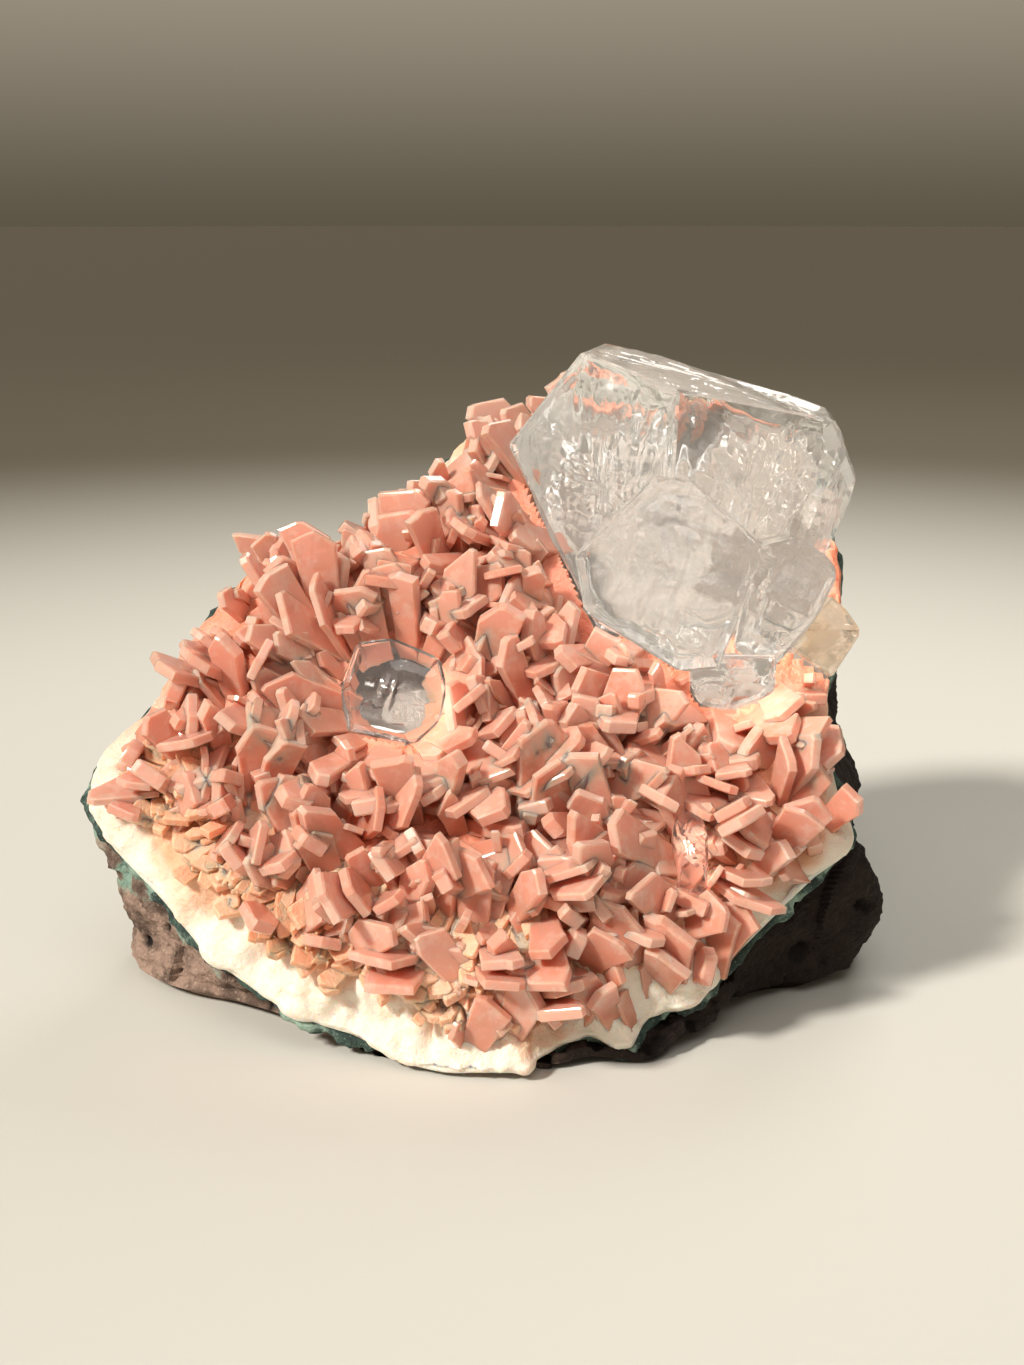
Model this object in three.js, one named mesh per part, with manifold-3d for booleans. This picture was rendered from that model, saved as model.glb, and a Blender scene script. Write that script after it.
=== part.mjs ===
import * as THREE from "three";
import { ConvexGeometry } from "three/addons/geometries/ConvexGeometry.js";
import { mergeVertices } from "three/addons/utils/BufferGeometryUtils.js";
import Module from "manifold-3d";

// A wedge of dark basalt standing on its flat broken base. Its sloping front is lined with a thin
// green skin, then a pale crust bristling with pink stilbite blades, and a group of clear, blocky
// apophyllite crystals sits high on the right of it. Millimetres, +Z up, front towards -Y.

// Sloping face that carries the crystals: u runs to the right, v up the slope, h out of the slope.
const FACE_TILT = 48;
const FACE_FOOT = [0, 0.5, 1.5];
const FACE_CORE = [-3, 37];

// Middle of the finished outline in plan, taken as the origin.
const PLAN_MIDDLE = [-1.9, 26.92];

// Clear space between pieces that touch.
const GAP = 0.3;

// Edge of the crust on the slope and the foot of the rock wall below it, all the way round:
// u, v on the slope, x, y on the ground, share of the way to the edge that the rock comes,
// how far the wall swells outwards half way down, and how far the edge curls up off the slope.
const RIM = [
  [-2.5, -0.4, -2.5, 4.2, 0.92, 0, 2.2],
  [0.9, -0.2, 1.2, 2.6, 0.93, 0, 2],
  [2.8, 1.4, 4, 2.2, 0.97, 0, 1],
  [6.8, 3.4, 7.5, 3.2, 1, 0.2, 0.3],
  [10.5, 2.5, 13, 3.6, 1, 0.4, 0],
  [13, 5.5, 16.5, 7, 1, 0.6, 0],
  [17.1, 6.5, 18.5, 9.5, 1, 0.6, 0],
  [20.7, 10.8, 22, 15, 1, 0.8, 0],
  [24.7, 14.8, 27.5, 18.5, 1, 1.4, 0],
  [28.9, 18.8, 32, 19.8, 1, 2.2, 0],
  [33.3, 22.7, 36, 25, 1, 2.2, 0],
  [32.2, 28.5, 37, 31, 1, 2, 0],
  [31.5, 36, 37, 37, 1, 1.4, 0],
  [33, 44, 36.5, 42, 1, 1, 0],
  [34.5, 54, 35, 47, 1, 1, 0],
  [31, 65, 30, 51, 1, 1.4, 0],
  [22, 73, 21, 53.5, 1, 1.6, 0],
  [12, 75.5, 10, 54.5, 1, 1.6, 0],
  [2, 73, 0, 53, 1, 1.6, 0],
  [-5, 69, -8, 51, 1, 1.6, 0],
  [-9, 65, -12, 49, 1, 1.4, 0],
  [-14, 60, -17, 47, 1, 1.2, 0],
  [-21, 55, -23, 44.5, 1, 1, 0],
  [-28, 52.5, -29, 42, 1, 0.8, 0],
  [-32, 46, -34, 38, 1, 0.4, 0],
  [-36, 38, -37, 33, 1, 0.2, 0],
  [-41, 31.5, -39, 29, 1, 0, 0],
  [-41.6, 27.5, -39, 25, 1, 0, 0],
  [-39.1, 22.5, -38.2, 21.5, 1, 0, 0],
  [-33.9, 17.1, -34, 17.5, 1, 0.2, 0],
  [-29.2, 11.8, -28.5, 15, 1, 0.4, 0],
  [-23.7, 7.7, -23, 11.6, 1, 0.4, 0],
  [-18.8, 5, -17, 7, 1, 0.3, 0],
  [-14.1, 3.4, -12.5, 4.6, 1, 0.2, 0],
  [-10.3, 1.2, -9, 3.2, 0.97, 0, 0.6],
  [-6.5, -0.2, -5.5, 3.8, 0.94, 0, 1.6],
];
const COLUMNS = RIM.length;

// Heights above the slope: crust at its edge and in the middle, and how it is bedded.
const CRUST_EDGE = -1.5;
const CRUST_CROWN = 2.5;
const CRUST_EDGE_THICK = 1.2;
const CRUST_DISH = 3.5;
const LINING_THICK = 0.8;

// Blades that lean out over the edge are trimmed to this depth below the bed of the crust.
const BED_SLIP = 0.004;
const BED_CLEAR = 14;

// Swellings and hollows of the crust: u, v, radius, height.
const SWELLS = [
  [19, 31, 6, -3.4],
  [3.8, 41.6, 3.4, -3.4],
  [-35, 30, 5, -2.2],
  [10, 12, 8, 2.2],
  [-12, 14, 9, 1.4],
  [-18, 48, 9, 1.8],
];

// Rock: chamfer at the foot of the wall, share of the plan that stands flat, roughness.
const FOOT_HEIGHT = 1.2;
const FOOT_SHARE = 0.93;
const ROCK_MIDDLE = [-1, 28];
const ROCK_ROUGH = 1.1;

// Stilbite blades: how many places are tried on the slope, within what bounds, how close to the
// edge they grow, how deep they are rooted, their ranges of size, how much shorter and straighter
// they stand at the edge, and their ranges of lean and roll. Each is narrower at its foot, and two
// shoulders of different heights lead to a short flat end; these are shares of its width and length.
const BLADE_PLACES = 215;
const BLADE_FIELD = [[-43, 37], [-2, 77]];
const BLADE_LIMIT = 0.96;
const BARE_EDGE = { above: 26, leftOf: -9, limit: 0.85 };
const BLADE_ROOT = 3;
const BLADE_LENGTH = [7, 11];
const BLADE_EDGE_SHRINK = 0.6;
const BLADE_EDGE_STAND = 0.35;
const BLADE_WIDTH = [4, 6];
const BLADE_THICK = [1.6, 2.6];
const BLADE_LEAN = [22, 68];
const BLADE_ROLL = 42;
const BLADE_FOOT = 0.66;
const BLADE_SHOULDER = [0.06, 0.42];
const BLADE_END = 0.15;

// Apophyllite crystals: a middle and the flat faces round it, each an azimuth from the front
// towards +X, an elevation and a distance from the middle.
const CLUSTER = [
  {
    middle: [18, 35, 49],
    faces: [
      [-48, 5, 12.6], [42, 2, 9.6], [85, 74, 10.7], [-101, 40, 16.8], [-90, -28, 14.3],
      [62, -10, 12.8], [76, -17, 16.3], [83, 25, 16.3], [-123, 82, 15.7], [98, 72, 12.8],
      [180, 10, 16.5], [132, 0, 20], [-138, 0, 14.5], [180, -42, 8.6], [0, -75, 15],
    ],
  },
  {
    middle: [15.5, 24, 42.1],
    faces: [
      [-2, 20, 8], [-105, 42, 7.8], [150, 78, 9.2], [96, 47, 8], [80, -20, 7.5],
      [81, -14, 7.7], [21, -76, 9.2], [-76, -57, 7.2], [-92, -11, 8.6], [180, -42, 10.7],
    ],
  },
  {
    middle: [27.1, 25, 39],
    faces: [
      [24, 12, 6.5], [-144, 73, 6.5], [102, 58, 5.9], [86, 22, 5.5], [76, -24, 3.2],
      [71, -39, 3.2], [1, -77, 5.8], [-86, -46, 6.2], [-102, 8, 3.8], [180, -42, 8.9],
    ],
  },
  {
    middle: [22, 22, 31.9],
    faces: [
      [5, -25, 5], [84, 2, 3.7], [67, -46, 3.1], [48, -66, 2.5], [-42, -73, 2.9],
      [-89, -31, 4], [-98, -2, 4.1], [179, 74, 2.3], [180, -42, 5.9],
    ],
  },
];
const SIDE = {
  middle: [31.9, 28.5, 34.8],
  faces: [
    [30, 48, 4.7], [20, -20, 3.9], [95, 45, 3.2], [87, 27, 3.2], [73, -29, 2.7],
    [-84, -53, 2.9], [-112, 36, 2.2], [180, -42, 3.5],
  ],
};
const SMALL = {
  middle: [-11.6, 20, 31.3],
  faces: [
    [3, 24, 4.6], [-92, 20, 4.8], [-153, 73, 5.1], [125, 61, 4.7], [97, 11, 5.1],
    [91, -13, 4.9], [77, -46, 5.1], [-33, -71, 4.5], [-84, -9, 4.8], [180, -42, 7.4],
  ],
};
const BEAD = {
  middle: [16.8, 8.5, 19.2],
  faces: [
    [0, 42, 1.3], [45, 20, 1.3], [-45, 20, 1.3], [0, -20, 1.4], [90, 0, 1.4], [-90, 0, 1.4],
    [0, 85, 1.4], [180, -42, 5.4],
  ],
};

const wasm = await Module();
wasm.setup();

const tilt = THREE.MathUtils.degToRad(FACE_TILT);

/** Point on the slope at u, v and height h. */
function onFace(u, v, h) {
  return new THREE.Vector3(
    FACE_FOOT[0] + u,
    FACE_FOOT[1] + v * Math.cos(tilt) - h * Math.sin(tilt),
    FACE_FOOT[2] + v * Math.sin(tilt) + h * Math.cos(tilt),
  );
}

/** Same number between 0 and 1 every time for one item and one draw. */
function chance(item, draw) {
  const wave = Math.sin(item * 12.9898 + draw * 78.233) * 43758.5453;
  return wave - Math.floor(wave);
}

/** Value between the two ends of a range. */
function within(range, share) {
  return range[0] + (range[1] - range[0]) * share;
}

/** Smooth closed curve through neighbouring columns of the rim table. */
function rimCurve(first) {
  const points = RIM.map((row) => new THREE.Vector3(row[first], row[first + 1], row[first + 2]));
  return new THREE.CatmullRomCurve3(points, true, "catmullrom", 0.5);
}

const edgeCurve = rimCurve(0);
const groundCurve = rimCurve(2);
const shapeCurve = rimCurve(4);

/** Place on the slope at a share of the way from the core to the edge. */
function spread(turn, share) {
  const edge = edgeCurve.getPoint(turn);
  return {
    share,
    u: FACE_CORE[0] + (edge.x - FACE_CORE[0]) * share,
    v: FACE_CORE[1] + (edge.y - FACE_CORE[1]) * share,
    curl: shapeCurve.getPoint(turn).z,
  };
}

/** Height of the crust: a low crown that falls to the edge, with its swellings and hollows. */
function crustHeight({ share, u, v, curl }) {
  let height = CRUST_EDGE + (CRUST_CROWN - CRUST_EDGE) * (1 - share ** 5) + curl * share ** 5;
  for (const [su, sv, radius, rise] of SWELLS) {
    const square = ((u - su) ** 2 + (v - sv) ** 2) / radius ** 2;
    height += rise * Math.exp(-square) * (1 - share ** 8);
  }
  return height;
}

/** Underside of the crust: a shallow dish. */
function bedHeight({ share, curl }) {
  const edge = CRUST_EDGE - CRUST_EDGE_THICK;
  const inner = Math.min(share, 1);
  return edge - CRUST_DISH * (1 - inner ** 2) + curl * inner ** 2;
}

/** Uneven broken surface, as a sum of three waves that cross one another. */
function rough(p) {
  const one = Math.sin(0.31 * p.x + 0.17 * p.y - 0.23 * p.z + 1.1);
  const two = Math.sin(-0.19 * p.x + 0.37 * p.y + 0.29 * p.z + 2.7);
  const three = Math.sin(0.47 * p.x - 0.11 * p.y + 0.53 * p.z + 4.2);
  return (one + two + 0.8 * three) / 2;
}

/** Closed skin over a grid of turns and rows whose first and last rows are single points. */
function closedSkin(rows, pointAt) {
  const places = [];
  const faces = [];
  const last = rows.length - 1;
  const index = (row, column) => 1 + (row - 1) * COLUMNS + (column % COLUMNS);
  const end = 1 + (last - 1) * COLUMNS;
  places.push(...pointAt(0, rows[0]).toArray());
  for (let row = 1; row < last; row += 1) {
    for (let column = 0; column < COLUMNS; column += 1) {
      places.push(...pointAt(column / COLUMNS, rows[row]).toArray());
    }
  }
  places.push(...pointAt(0, rows[last]).toArray());
  for (let column = 0; column < COLUMNS; column += 1) {
    faces.push(0, index(1, column), index(1, column + 1));
    faces.push(end, index(last - 1, column + 1), index(last - 1, column));
    for (let row = 1; row < last - 1; row += 1) {
      const a = index(row, column);
      const b = index(row, column + 1);
      const c = index(row + 1, column);
      const d = index(row + 1, column + 1);
      faces.push(a, c, d, a, d, b);
    }
  }
  const geometry = new THREE.BufferGeometry();
  geometry.setAttribute("position", new THREE.Float32BufferAttribute(places, 3));
  geometry.setIndex(faces);
  return geometry;
}

/** Solid for joining and cutting, from a closed geometry. */
function solidOf(geometry) {
  geometry.deleteAttribute("normal");
  geometry.deleteAttribute("uv");
  const welded = mergeVertices(geometry, 1e-5);
  return new wasm.Manifold(new wasm.Mesh({
    numProp: 3,
    vertProperties: new Float32Array(welded.attributes.position.array),
    triVerts: new Uint32Array(welded.index.array),
  }));
}

/** Outward direction of a crystal face. */
function faceNormal(azimuth, elevation) {
  const a = THREE.MathUtils.degToRad(azimuth);
  const e = THREE.MathUtils.degToRad(elevation);
  return new THREE.Vector3(Math.sin(a) * Math.cos(e), -Math.cos(a) * Math.cos(e), Math.sin(e));
}

/** Crystal bounded by its flat faces, each moved outwards by grow. */
function crystal({ middle, faces }, grow) {
  const planes = faces.map(([azimuth, elevation, distance]) => ({
    normal: faceNormal(azimuth, elevation),
    distance: distance + grow,
  }));
  const corners = [];
  const turn = new THREE.Matrix3();
  for (let i = 0; i < planes.length; i += 1) {
    for (let j = i + 1; j < planes.length; j += 1) {
      for (let k = j + 1; k < planes.length; k += 1) {
        const three = [planes[i], planes[j], planes[k]];
        const [a, b, c] = three.map((plane) => plane.normal);
        turn.set(a.x, a.y, a.z, b.x, b.y, b.z, c.x, c.y, c.z);
        if (Math.abs(turn.determinant()) < 1e-4) {
          continue;
        }
        const corner = new THREE.Vector3(...three.map((plane) => plane.distance));
        corner.applyMatrix3(turn.clone().invert());
        if (planes.every((plane) => plane.normal.dot(corner) <= plane.distance + 1e-4)) {
          corners.push(corner.add(new THREE.Vector3(...middle)));
        }
      }
    }
  }
  return solidOf(new ConvexGeometry(corners));
}

/** Turn and share of the way to the edge of a place on the slope, from the spoke on either side. */
function placeOf(u, v) {
  const x = u - FACE_CORE[0];
  const y = v - FACE_CORE[1];
  for (let column = 0; column < COLUMNS; column += 1) {
    const a = edgeCurve.getPoint(column / COLUMNS);
    const b = edgeCurve.getPoint(((column + 1) % COLUMNS) / COLUMNS);
    const ax = a.x - FACE_CORE[0];
    const ay = a.y - FACE_CORE[1];
    const bx = b.x - FACE_CORE[0];
    const by = b.y - FACE_CORE[1];
    const area = ax * by - ay * bx;
    const first = (x * by - y * bx) / area;
    const second = (ax * y - ay * x) / area;
    if (first >= 0 && second >= 0) {
      const bare = a.y < BARE_EDGE.above && a.x < BARE_EDGE.leftOf;
      const limit = bare ? BARE_EDGE.limit : BLADE_LIMIT;
      const curl = shapeCurve.getPoint(column / COLUMNS).z;
      return { share: first + second, u, v, curl, limit };
    }
  }
  return { share: 0, u, v, curl: 0, limit: BLADE_LIMIT };
}

/** One stilbite blade: a flat tablet rooted in the crust that ends in a slanting chisel. */
function blade(item) {
  const place = placeOf(
    within(BLADE_FIELD[0], (item * 0.7548776662) % 1),
    within(BLADE_FIELD[1], (item * 0.569840291) % 1),
  );
  if (place.share > place.limit) {
    return null;
  }
  const length = within(BLADE_LENGTH, chance(item, 1)) * (1 - BLADE_EDGE_SHRINK * place.share ** 4);
  const width = within(BLADE_WIDTH, chance(item, 2)) / 2;
  const thick = within(BLADE_THICK, chance(item, 3)) / 2;
  const stand = 1 - BLADE_EDGE_STAND * place.share ** 4;
  const lean = THREE.MathUtils.degToRad(within(BLADE_LEAN, chance(item, 4)) * stand);
  const heading = 2 * Math.PI * chance(item, 5);
  const roll = THREE.MathUtils.degToRad(BLADE_ROLL) * (2 * chance(item, 6) - 1);
  const right = 1 - within(BLADE_SHOULDER, chance(item, 90));
  const left = 1 - within(BLADE_SHOULDER, chance(item, 100));
  const apex = 1.2 * (chance(item, 110) - 0.5);
  const outline = [
    [-BLADE_FOOT, -BLADE_ROOT],
    [BLADE_FOOT, -BLADE_ROOT],
    [1, length * right],
    [apex + BLADE_END, length],
    [apex - BLADE_END, length],
    [-1, length * left],
  ];
  const corners = [];
  for (const [x, z] of outline) {
    corners.push(new THREE.Vector3(x * width, -thick, z));
    corners.push(new THREE.Vector3(x * width, thick, z));
  }
  const geometry = new ConvexGeometry(corners);
  geometry.rotateZ(roll);
  geometry.rotateX(lean);
  geometry.rotateZ(heading);
  geometry.rotateX(tilt);
  const root = onFace(place.u, place.v, crustHeight(place));
  geometry.translate(root.x, root.y, root.z);
  return solidOf(geometry);
}

/** Crust with its pale rounded edge. */
function crust() {
  const rows = [
    [0, 1], [0.25, 1], [0.45, 1], [0.62, 1], [0.76, 1], [0.88, 1], [0.95, 1], [1, 1],
    [1, 0], [0.8, 0], [0.5, 0], [0, 0],
  ];
  return solidOf(closedSkin(rows, (turn, [share, top]) => {
    const place = spread(turn, share);
    return onFace(place.u, place.v, top ? crustHeight(place) : bedHeight(place));
  }));
}

/** Thin green skin between the crust and the rock. */
function lining() {
  const rows = [[0, 0], [0.5, 0], [0.8, 0], [1, 0], [1, 1], [0.8, 1], [0.5, 1], [0, 1]];
  return solidOf(closedSkin(rows, (turn, [share, under]) => {
    const place = spread(turn, share * shapeCurve.getPoint(turn).x);
    return onFace(place.u, place.v, bedHeight(place) - GAP - under * LINING_THICK);
  }));
}

/** Basalt: dished top, rough wall down to the ground, narrow chamfer and flat base. */
function rock() {
  const top = [0, 0.5, 0.8, 1].map((share) => ["top", share]);
  const wall = [0.16, 0.32, 0.48, 0.64, 0.82, 1].map((share) => ["wall", share]);
  const base = [1, 0.5, 0].map((share) => ["base", share]);
  const under = 2 * GAP + LINING_THICK;
  return solidOf(closedSkin([...top, ...wall, ...base], (turn, [part, share]) => {
    const shape = shapeCurve.getPoint(turn);
    const ground = groundCurve.getPoint(turn);
    if (part === "base") {
      const x = ROCK_MIDDLE[0] + (ground.x - ROCK_MIDDLE[0]) * share * FOOT_SHARE;
      const y = ROCK_MIDDLE[1] + (ground.y - ROCK_MIDDLE[1]) * share * FOOT_SHARE;
      return new THREE.Vector3(x, y, 0);
    }
    const place = spread(turn, shape.x * (part === "top" ? share : 1));
    const point = onFace(place.u, place.v, bedHeight(place) - under);
    if (part === "top") {
      return point;
    }
    const drop = point.z - FOOT_HEIGHT;
    point.lerp(new THREE.Vector3(ground.x, ground.y, Math.min(FOOT_HEIGHT, 0.6 * point.z)), share);
    const outward = new THREE.Vector3(point.x - ROCK_MIDDLE[0], point.y - ROCK_MIDDLE[1], 0);
    const wave = Math.sin(Math.PI * share);
    const uneven = ROCK_ROUGH * rough(point) * Math.min(1, Math.max(0, drop) / 12);
    return point.addScaledVector(outward.normalize(), wave * (shape.y + uneven));
  }));
}

/** Crystals grown into one another, each face moved outwards by grow. */
function grownTogether(crystals, grow) {
  return crystals.map((one) => crystal(one, grow)).reduce((a, b) => a.add(b));
}

/** Largest connected piece of a solid. */
function largest(solid) {
  return solid.decompose().reduce((a, b) => (a.volume() > b.volume() ? a : b));
}

/** Druse: the crust with its blades, cut clear of every apophyllite crystal. */
function druse() {
  let solid = crust();
  for (let item = 1; item <= BLADE_PLACES; item += 1) {
    const one = blade(item);
    solid = one ? solid.add(one) : solid;
  }
  solid = solid.subtract(grownTogether([...CLUSTER, SIDE, SMALL, BEAD], GAP));
  solid = solid.subtract(belowBed());
  return largest(solid);
}

/** Space under the bed of the crust and past its edge, which stays free of blades. */
function belowBed() {
  const rows = [[0, 0], [0.5, 0], [0.8, 0], [1, 0], [1.3, 0], [1.3, 1], [0, 1]];
  return solidOf(closedSkin(rows, (turn, [share, under]) => {
    const place = spread(turn, share);
    return onFace(place.u, place.v, bedHeight(place) - BED_SLIP - under * BED_CLEAR);
  }));
}

/** Named mesh of a finished solid, set about the middle of the plan. */
function meshOf(name, solid, look) {
  const data = solid.getMesh();
  const geometry = new THREE.BufferGeometry();
  geometry.setAttribute("position", new THREE.BufferAttribute(new Float32Array(data.vertProperties), 3));
  geometry.setIndex(new THREE.BufferAttribute(new Uint32Array(data.triVerts), 1));
  geometry.translate(-PLAN_MIDDLE[0], -PLAN_MIDDLE[1], 0);
  geometry.computeVertexNormals();
  const mesh = new THREE.Mesh(geometry, new THREE.MeshStandardMaterial({ ...look, flatShading: true }));
  mesh.name = name;
  return mesh;
}

const cluster = grownTogether(CLUSTER, 0);
const side = crystal(SIDE, 0).subtract(grownTogether(CLUSTER, GAP));

const group = new THREE.Group();
group.name = "apophyllite_cluster";
group.add(
  meshOf("basalt_matrix", rock(), { color: "#4a3f38", roughness: 0.92, metalness: 0 }),
  meshOf("celadonite_lining", lining(), { color: "#3f5a50", roughness: 0.85, metalness: 0 }),
  meshOf("stilbite_druse", druse(), { color: "#dc9a80", roughness: 0.4, metalness: 0 }),
  meshOf("apophyllite_cluster", cluster, { color: "#d9d0c0", roughness: 0.12, metalness: 0 }),
  meshOf("apophyllite_side", largest(side), { color: "#cdb798", roughness: 0.14, metalness: 0 }),
  meshOf("apophyllite_small", crystal(SMALL, 0), { color: "#d8b8a6", roughness: 0.14, metalness: 0 }),
  meshOf("apophyllite_bead", crystal(BEAD, 0), { color: "#e4ddd2", roughness: 0.1, metalness: 0 }),
);

export default group;
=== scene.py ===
"""Apophyllite on pink stilbite: a natural mineral specimen standing on its broken base.

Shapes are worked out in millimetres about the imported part's own origin and written to the meshes in
metres. The slope that carries the crystals has its own directions: u to the right, v up the slope and
h out of it.
"""

import math
from itertools import combinations

import bmesh
import bpy
import numpy as np
from bpy.props import FloatProperty, FloatVectorProperty, IntProperty, PointerProperty
from bpy.types import Operator, Panel, PropertyGroup
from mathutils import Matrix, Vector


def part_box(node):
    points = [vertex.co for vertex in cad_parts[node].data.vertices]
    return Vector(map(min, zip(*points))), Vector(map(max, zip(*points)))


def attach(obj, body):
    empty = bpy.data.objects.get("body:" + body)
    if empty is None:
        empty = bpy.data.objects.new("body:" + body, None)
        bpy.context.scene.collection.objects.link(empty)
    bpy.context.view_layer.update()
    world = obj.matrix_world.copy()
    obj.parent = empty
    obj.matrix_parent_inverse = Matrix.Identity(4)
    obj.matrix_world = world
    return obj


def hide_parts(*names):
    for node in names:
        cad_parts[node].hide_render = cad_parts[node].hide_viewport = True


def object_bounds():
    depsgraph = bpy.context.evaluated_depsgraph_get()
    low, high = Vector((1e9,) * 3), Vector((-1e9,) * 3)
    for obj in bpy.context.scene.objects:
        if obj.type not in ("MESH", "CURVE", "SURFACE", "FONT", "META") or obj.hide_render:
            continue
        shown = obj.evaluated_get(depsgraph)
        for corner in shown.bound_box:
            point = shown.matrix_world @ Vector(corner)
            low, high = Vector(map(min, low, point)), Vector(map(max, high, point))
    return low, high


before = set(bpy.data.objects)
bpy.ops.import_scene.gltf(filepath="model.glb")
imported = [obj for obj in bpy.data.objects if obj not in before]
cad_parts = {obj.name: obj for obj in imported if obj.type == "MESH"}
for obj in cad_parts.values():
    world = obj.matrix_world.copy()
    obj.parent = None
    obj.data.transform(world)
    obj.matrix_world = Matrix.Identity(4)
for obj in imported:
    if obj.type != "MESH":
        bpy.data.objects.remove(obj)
CAD_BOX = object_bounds()

bl_info = {
    "name": "Apophyllite specimen",
    "version": (1, 0, 0),
    "blender": (4, 5, 0),
    "location": "View3D > Sidebar > Specimen",
    "description": "Dresses a mineral specimen: basalt, celadonite, stilbite blades and clear apophyllite",
    "category": "Object",
}

MM = 0.001

# Slope that carries the crystals, and the middle of the plan, in millimetres.
FACE_TILT = math.radians(48)
FACE_FOOT = (0.0, 0.5, 1.5)
FACE_CORE = (-3.0, 37.0)
PLAN_MIDDLE = (-1.9, 26.92)

# Edge of the crust and foot of the rock wall below it: u, v on the slope, x, y on the ground,
# share of the way to the edge that the rock comes, swell of the wall, curl of the edge.
RIM = np.array([
    [-2.5, -0.4, -2.5, 4.2, 0.92, 0, 2.2],
    [0.9, -0.2, 1.2, 2.6, 0.93, 0, 2],
    [2.8, 1.4, 4, 2.2, 0.97, 0, 1],
    [6.8, 3.4, 7.5, 3.2, 1, 0.2, 0.3],
    [10.5, 2.5, 13, 3.6, 1, 0.4, 0],
    [13, 5.5, 16.5, 7, 1, 0.6, 0],
    [17.1, 6.5, 18.5, 9.5, 1, 0.6, 0],
    [20.7, 10.8, 22, 15, 1, 0.8, 0],
    [24.7, 14.8, 27.5, 18.5, 1, 1.4, 0],
    [28.9, 18.8, 32, 19.8, 1, 2.2, 0],
    [33.3, 22.7, 36, 25, 1, 2.2, 0],
    [32.2, 28.5, 37, 31, 1, 2, 0],
    [31.5, 36, 37, 37, 1, 1.4, 0],
    [33, 44, 36.5, 42, 1, 1, 0],
    [34.5, 54, 35, 47, 1, 1, 0],
    [31, 65, 30, 51, 1, 1.4, 0],
    [22, 73, 21, 53.5, 1, 1.6, 0],
    [12, 75.5, 10, 54.5, 1, 1.6, 0],
    [2, 73, 0, 53, 1, 1.6, 0],
    [-5, 69, -8, 51, 1, 1.6, 0],
    [-9, 65, -12, 49, 1, 1.4, 0],
    [-14, 60, -17, 47, 1, 1.2, 0],
    [-21, 55, -23, 44.5, 1, 1, 0],
    [-28, 52.5, -29, 42, 1, 0.8, 0],
    [-32, 46, -34, 38, 1, 0.4, 0],
    [-36, 38, -37, 33, 1, 0.2, 0],
    [-41, 31.5, -39, 29, 1, 0, 0],
    [-41.6, 27.5, -39, 25, 1, 0, 0],
    [-39.1, 22.5, -38.2, 21.5, 1, 0, 0],
    [-33.9, 17.1, -34, 17.5, 1, 0.2, 0],
    [-29.2, 11.8, -28.5, 15, 1, 0.4, 0],
    [-23.7, 7.7, -23, 11.6, 1, 0.4, 0],
    [-18.8, 5, -17, 7, 1, 0.3, 0],
    [-14.1, 3.4, -12.5, 4.6, 1, 0.2, 0],
    [-10.3, 1.2, -9, 3.2, 0.97, 0, 0.6],
    [-6.5, -0.2, -5.5, 3.8, 0.94, 0, 1.6],
], dtype=float)

# Crust, lining and rock, in millimetres.
CRUST_EDGE = -1.5
CRUST_CROWN = 2.5
CRUST_EDGE_THICK = 1.2
CRUST_DISH = 3.5
LINING_THICK = 0.8
GAP = 0.3
FOOT_HEIGHT = 1.2
FOOT_SHARE = 0.93
ROCK_MIDDLE = (-1.0, 28.0)
ROCK_ROUGH = 1.1

# Swellings and hollows of the crust: u, v, radius, height.
SWELLS = (
    (19, 31, 6, -3.4),
    (3.8, 41.6, 3.4, -3.4),
    (-35, 30, 5, -2.2),
    (10, 12, 8, 2.2),
    (-12, 14, 9, 1.4),
    (-18, 48, 9, 1.8),
)

# Places tried for blades on the slope, and how close to the edge they grow.
BLADE_FIELD = ((-43, 37), (-2, 77))
BLADE_LIMIT = 0.96
BARE_EDGE_ABOVE = 26
BARE_EDGE_LEFT_OF = -9
BARE_EDGE_LIMIT = 0.85
BLADE_ROOT = 3.0
BLADE_ROLL = 42
BLADE_FOOT = 0.66
BLADE_WAIST = 0.4
BLADE_SHOULDER = (0.06, 0.42)
BLADE_END = 0.15
BLADE_EDGE_SHRINK = 0.6
BLADE_EDGE_STAND = 0.35
AWAY_LEAN = 46

# Blades of each size: length, width and thickness in millimetres, lean in degrees, plates in a blade.
BLADE_SIZES = {
    "large": ((7, 11), (3.8, 5.8), (1.5, 2.4), (22, 66), 2),
    "medium": ((5.5, 9), (2.2, 4.4), (0.9, 1.6), (16, 64), 1),
    "fine": ((3, 6), (1.2, 2.6), (0.5, 1.0), (10, 56), 1),
}

# Apophyllite crystals: a middle and the flat faces round it, each an azimuth from the front
# towards +X, an elevation and a distance from the middle.
MAIN = ((18, 35, 49), (
    (-48, 5, 12.6), (42, 2, 9.6), (85, 74, 10.7), (-101, 40, 16.8), (-90, -28, 14.3),
    (62, -10, 12.8), (76, -17, 16.3), (83, 25, 16.3), (-123, 82, 15.7), (98, 72, 12.8),
    (180, 10, 16.5), (132, 0, 20), (-138, 0, 14.5), (180, -42, 8.6), (0, -75, 15),
))
FRONT = ((15.5, 24, 42.1), (
    (-2, 20, 8), (-105, 42, 7.8), (150, 78, 9.2), (96, 47, 8), (80, -20, 7.5),
    (81, -14, 7.7), (21, -76, 9.2), (-76, -57, 7.2), (-92, -11, 8.6), (180, -42, 10.7),
))
RIGHT = ((27.1, 25, 39), (
    (24, 12, 6.5), (-144, 73, 6.5), (102, 58, 5.9), (86, 22, 5.5), (76, -24, 3.2),
    (71, -39, 3.2), (1, -77, 5.8), (-86, -46, 6.2), (-102, 8, 3.8), (180, -42, 8.9),
))
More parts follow.
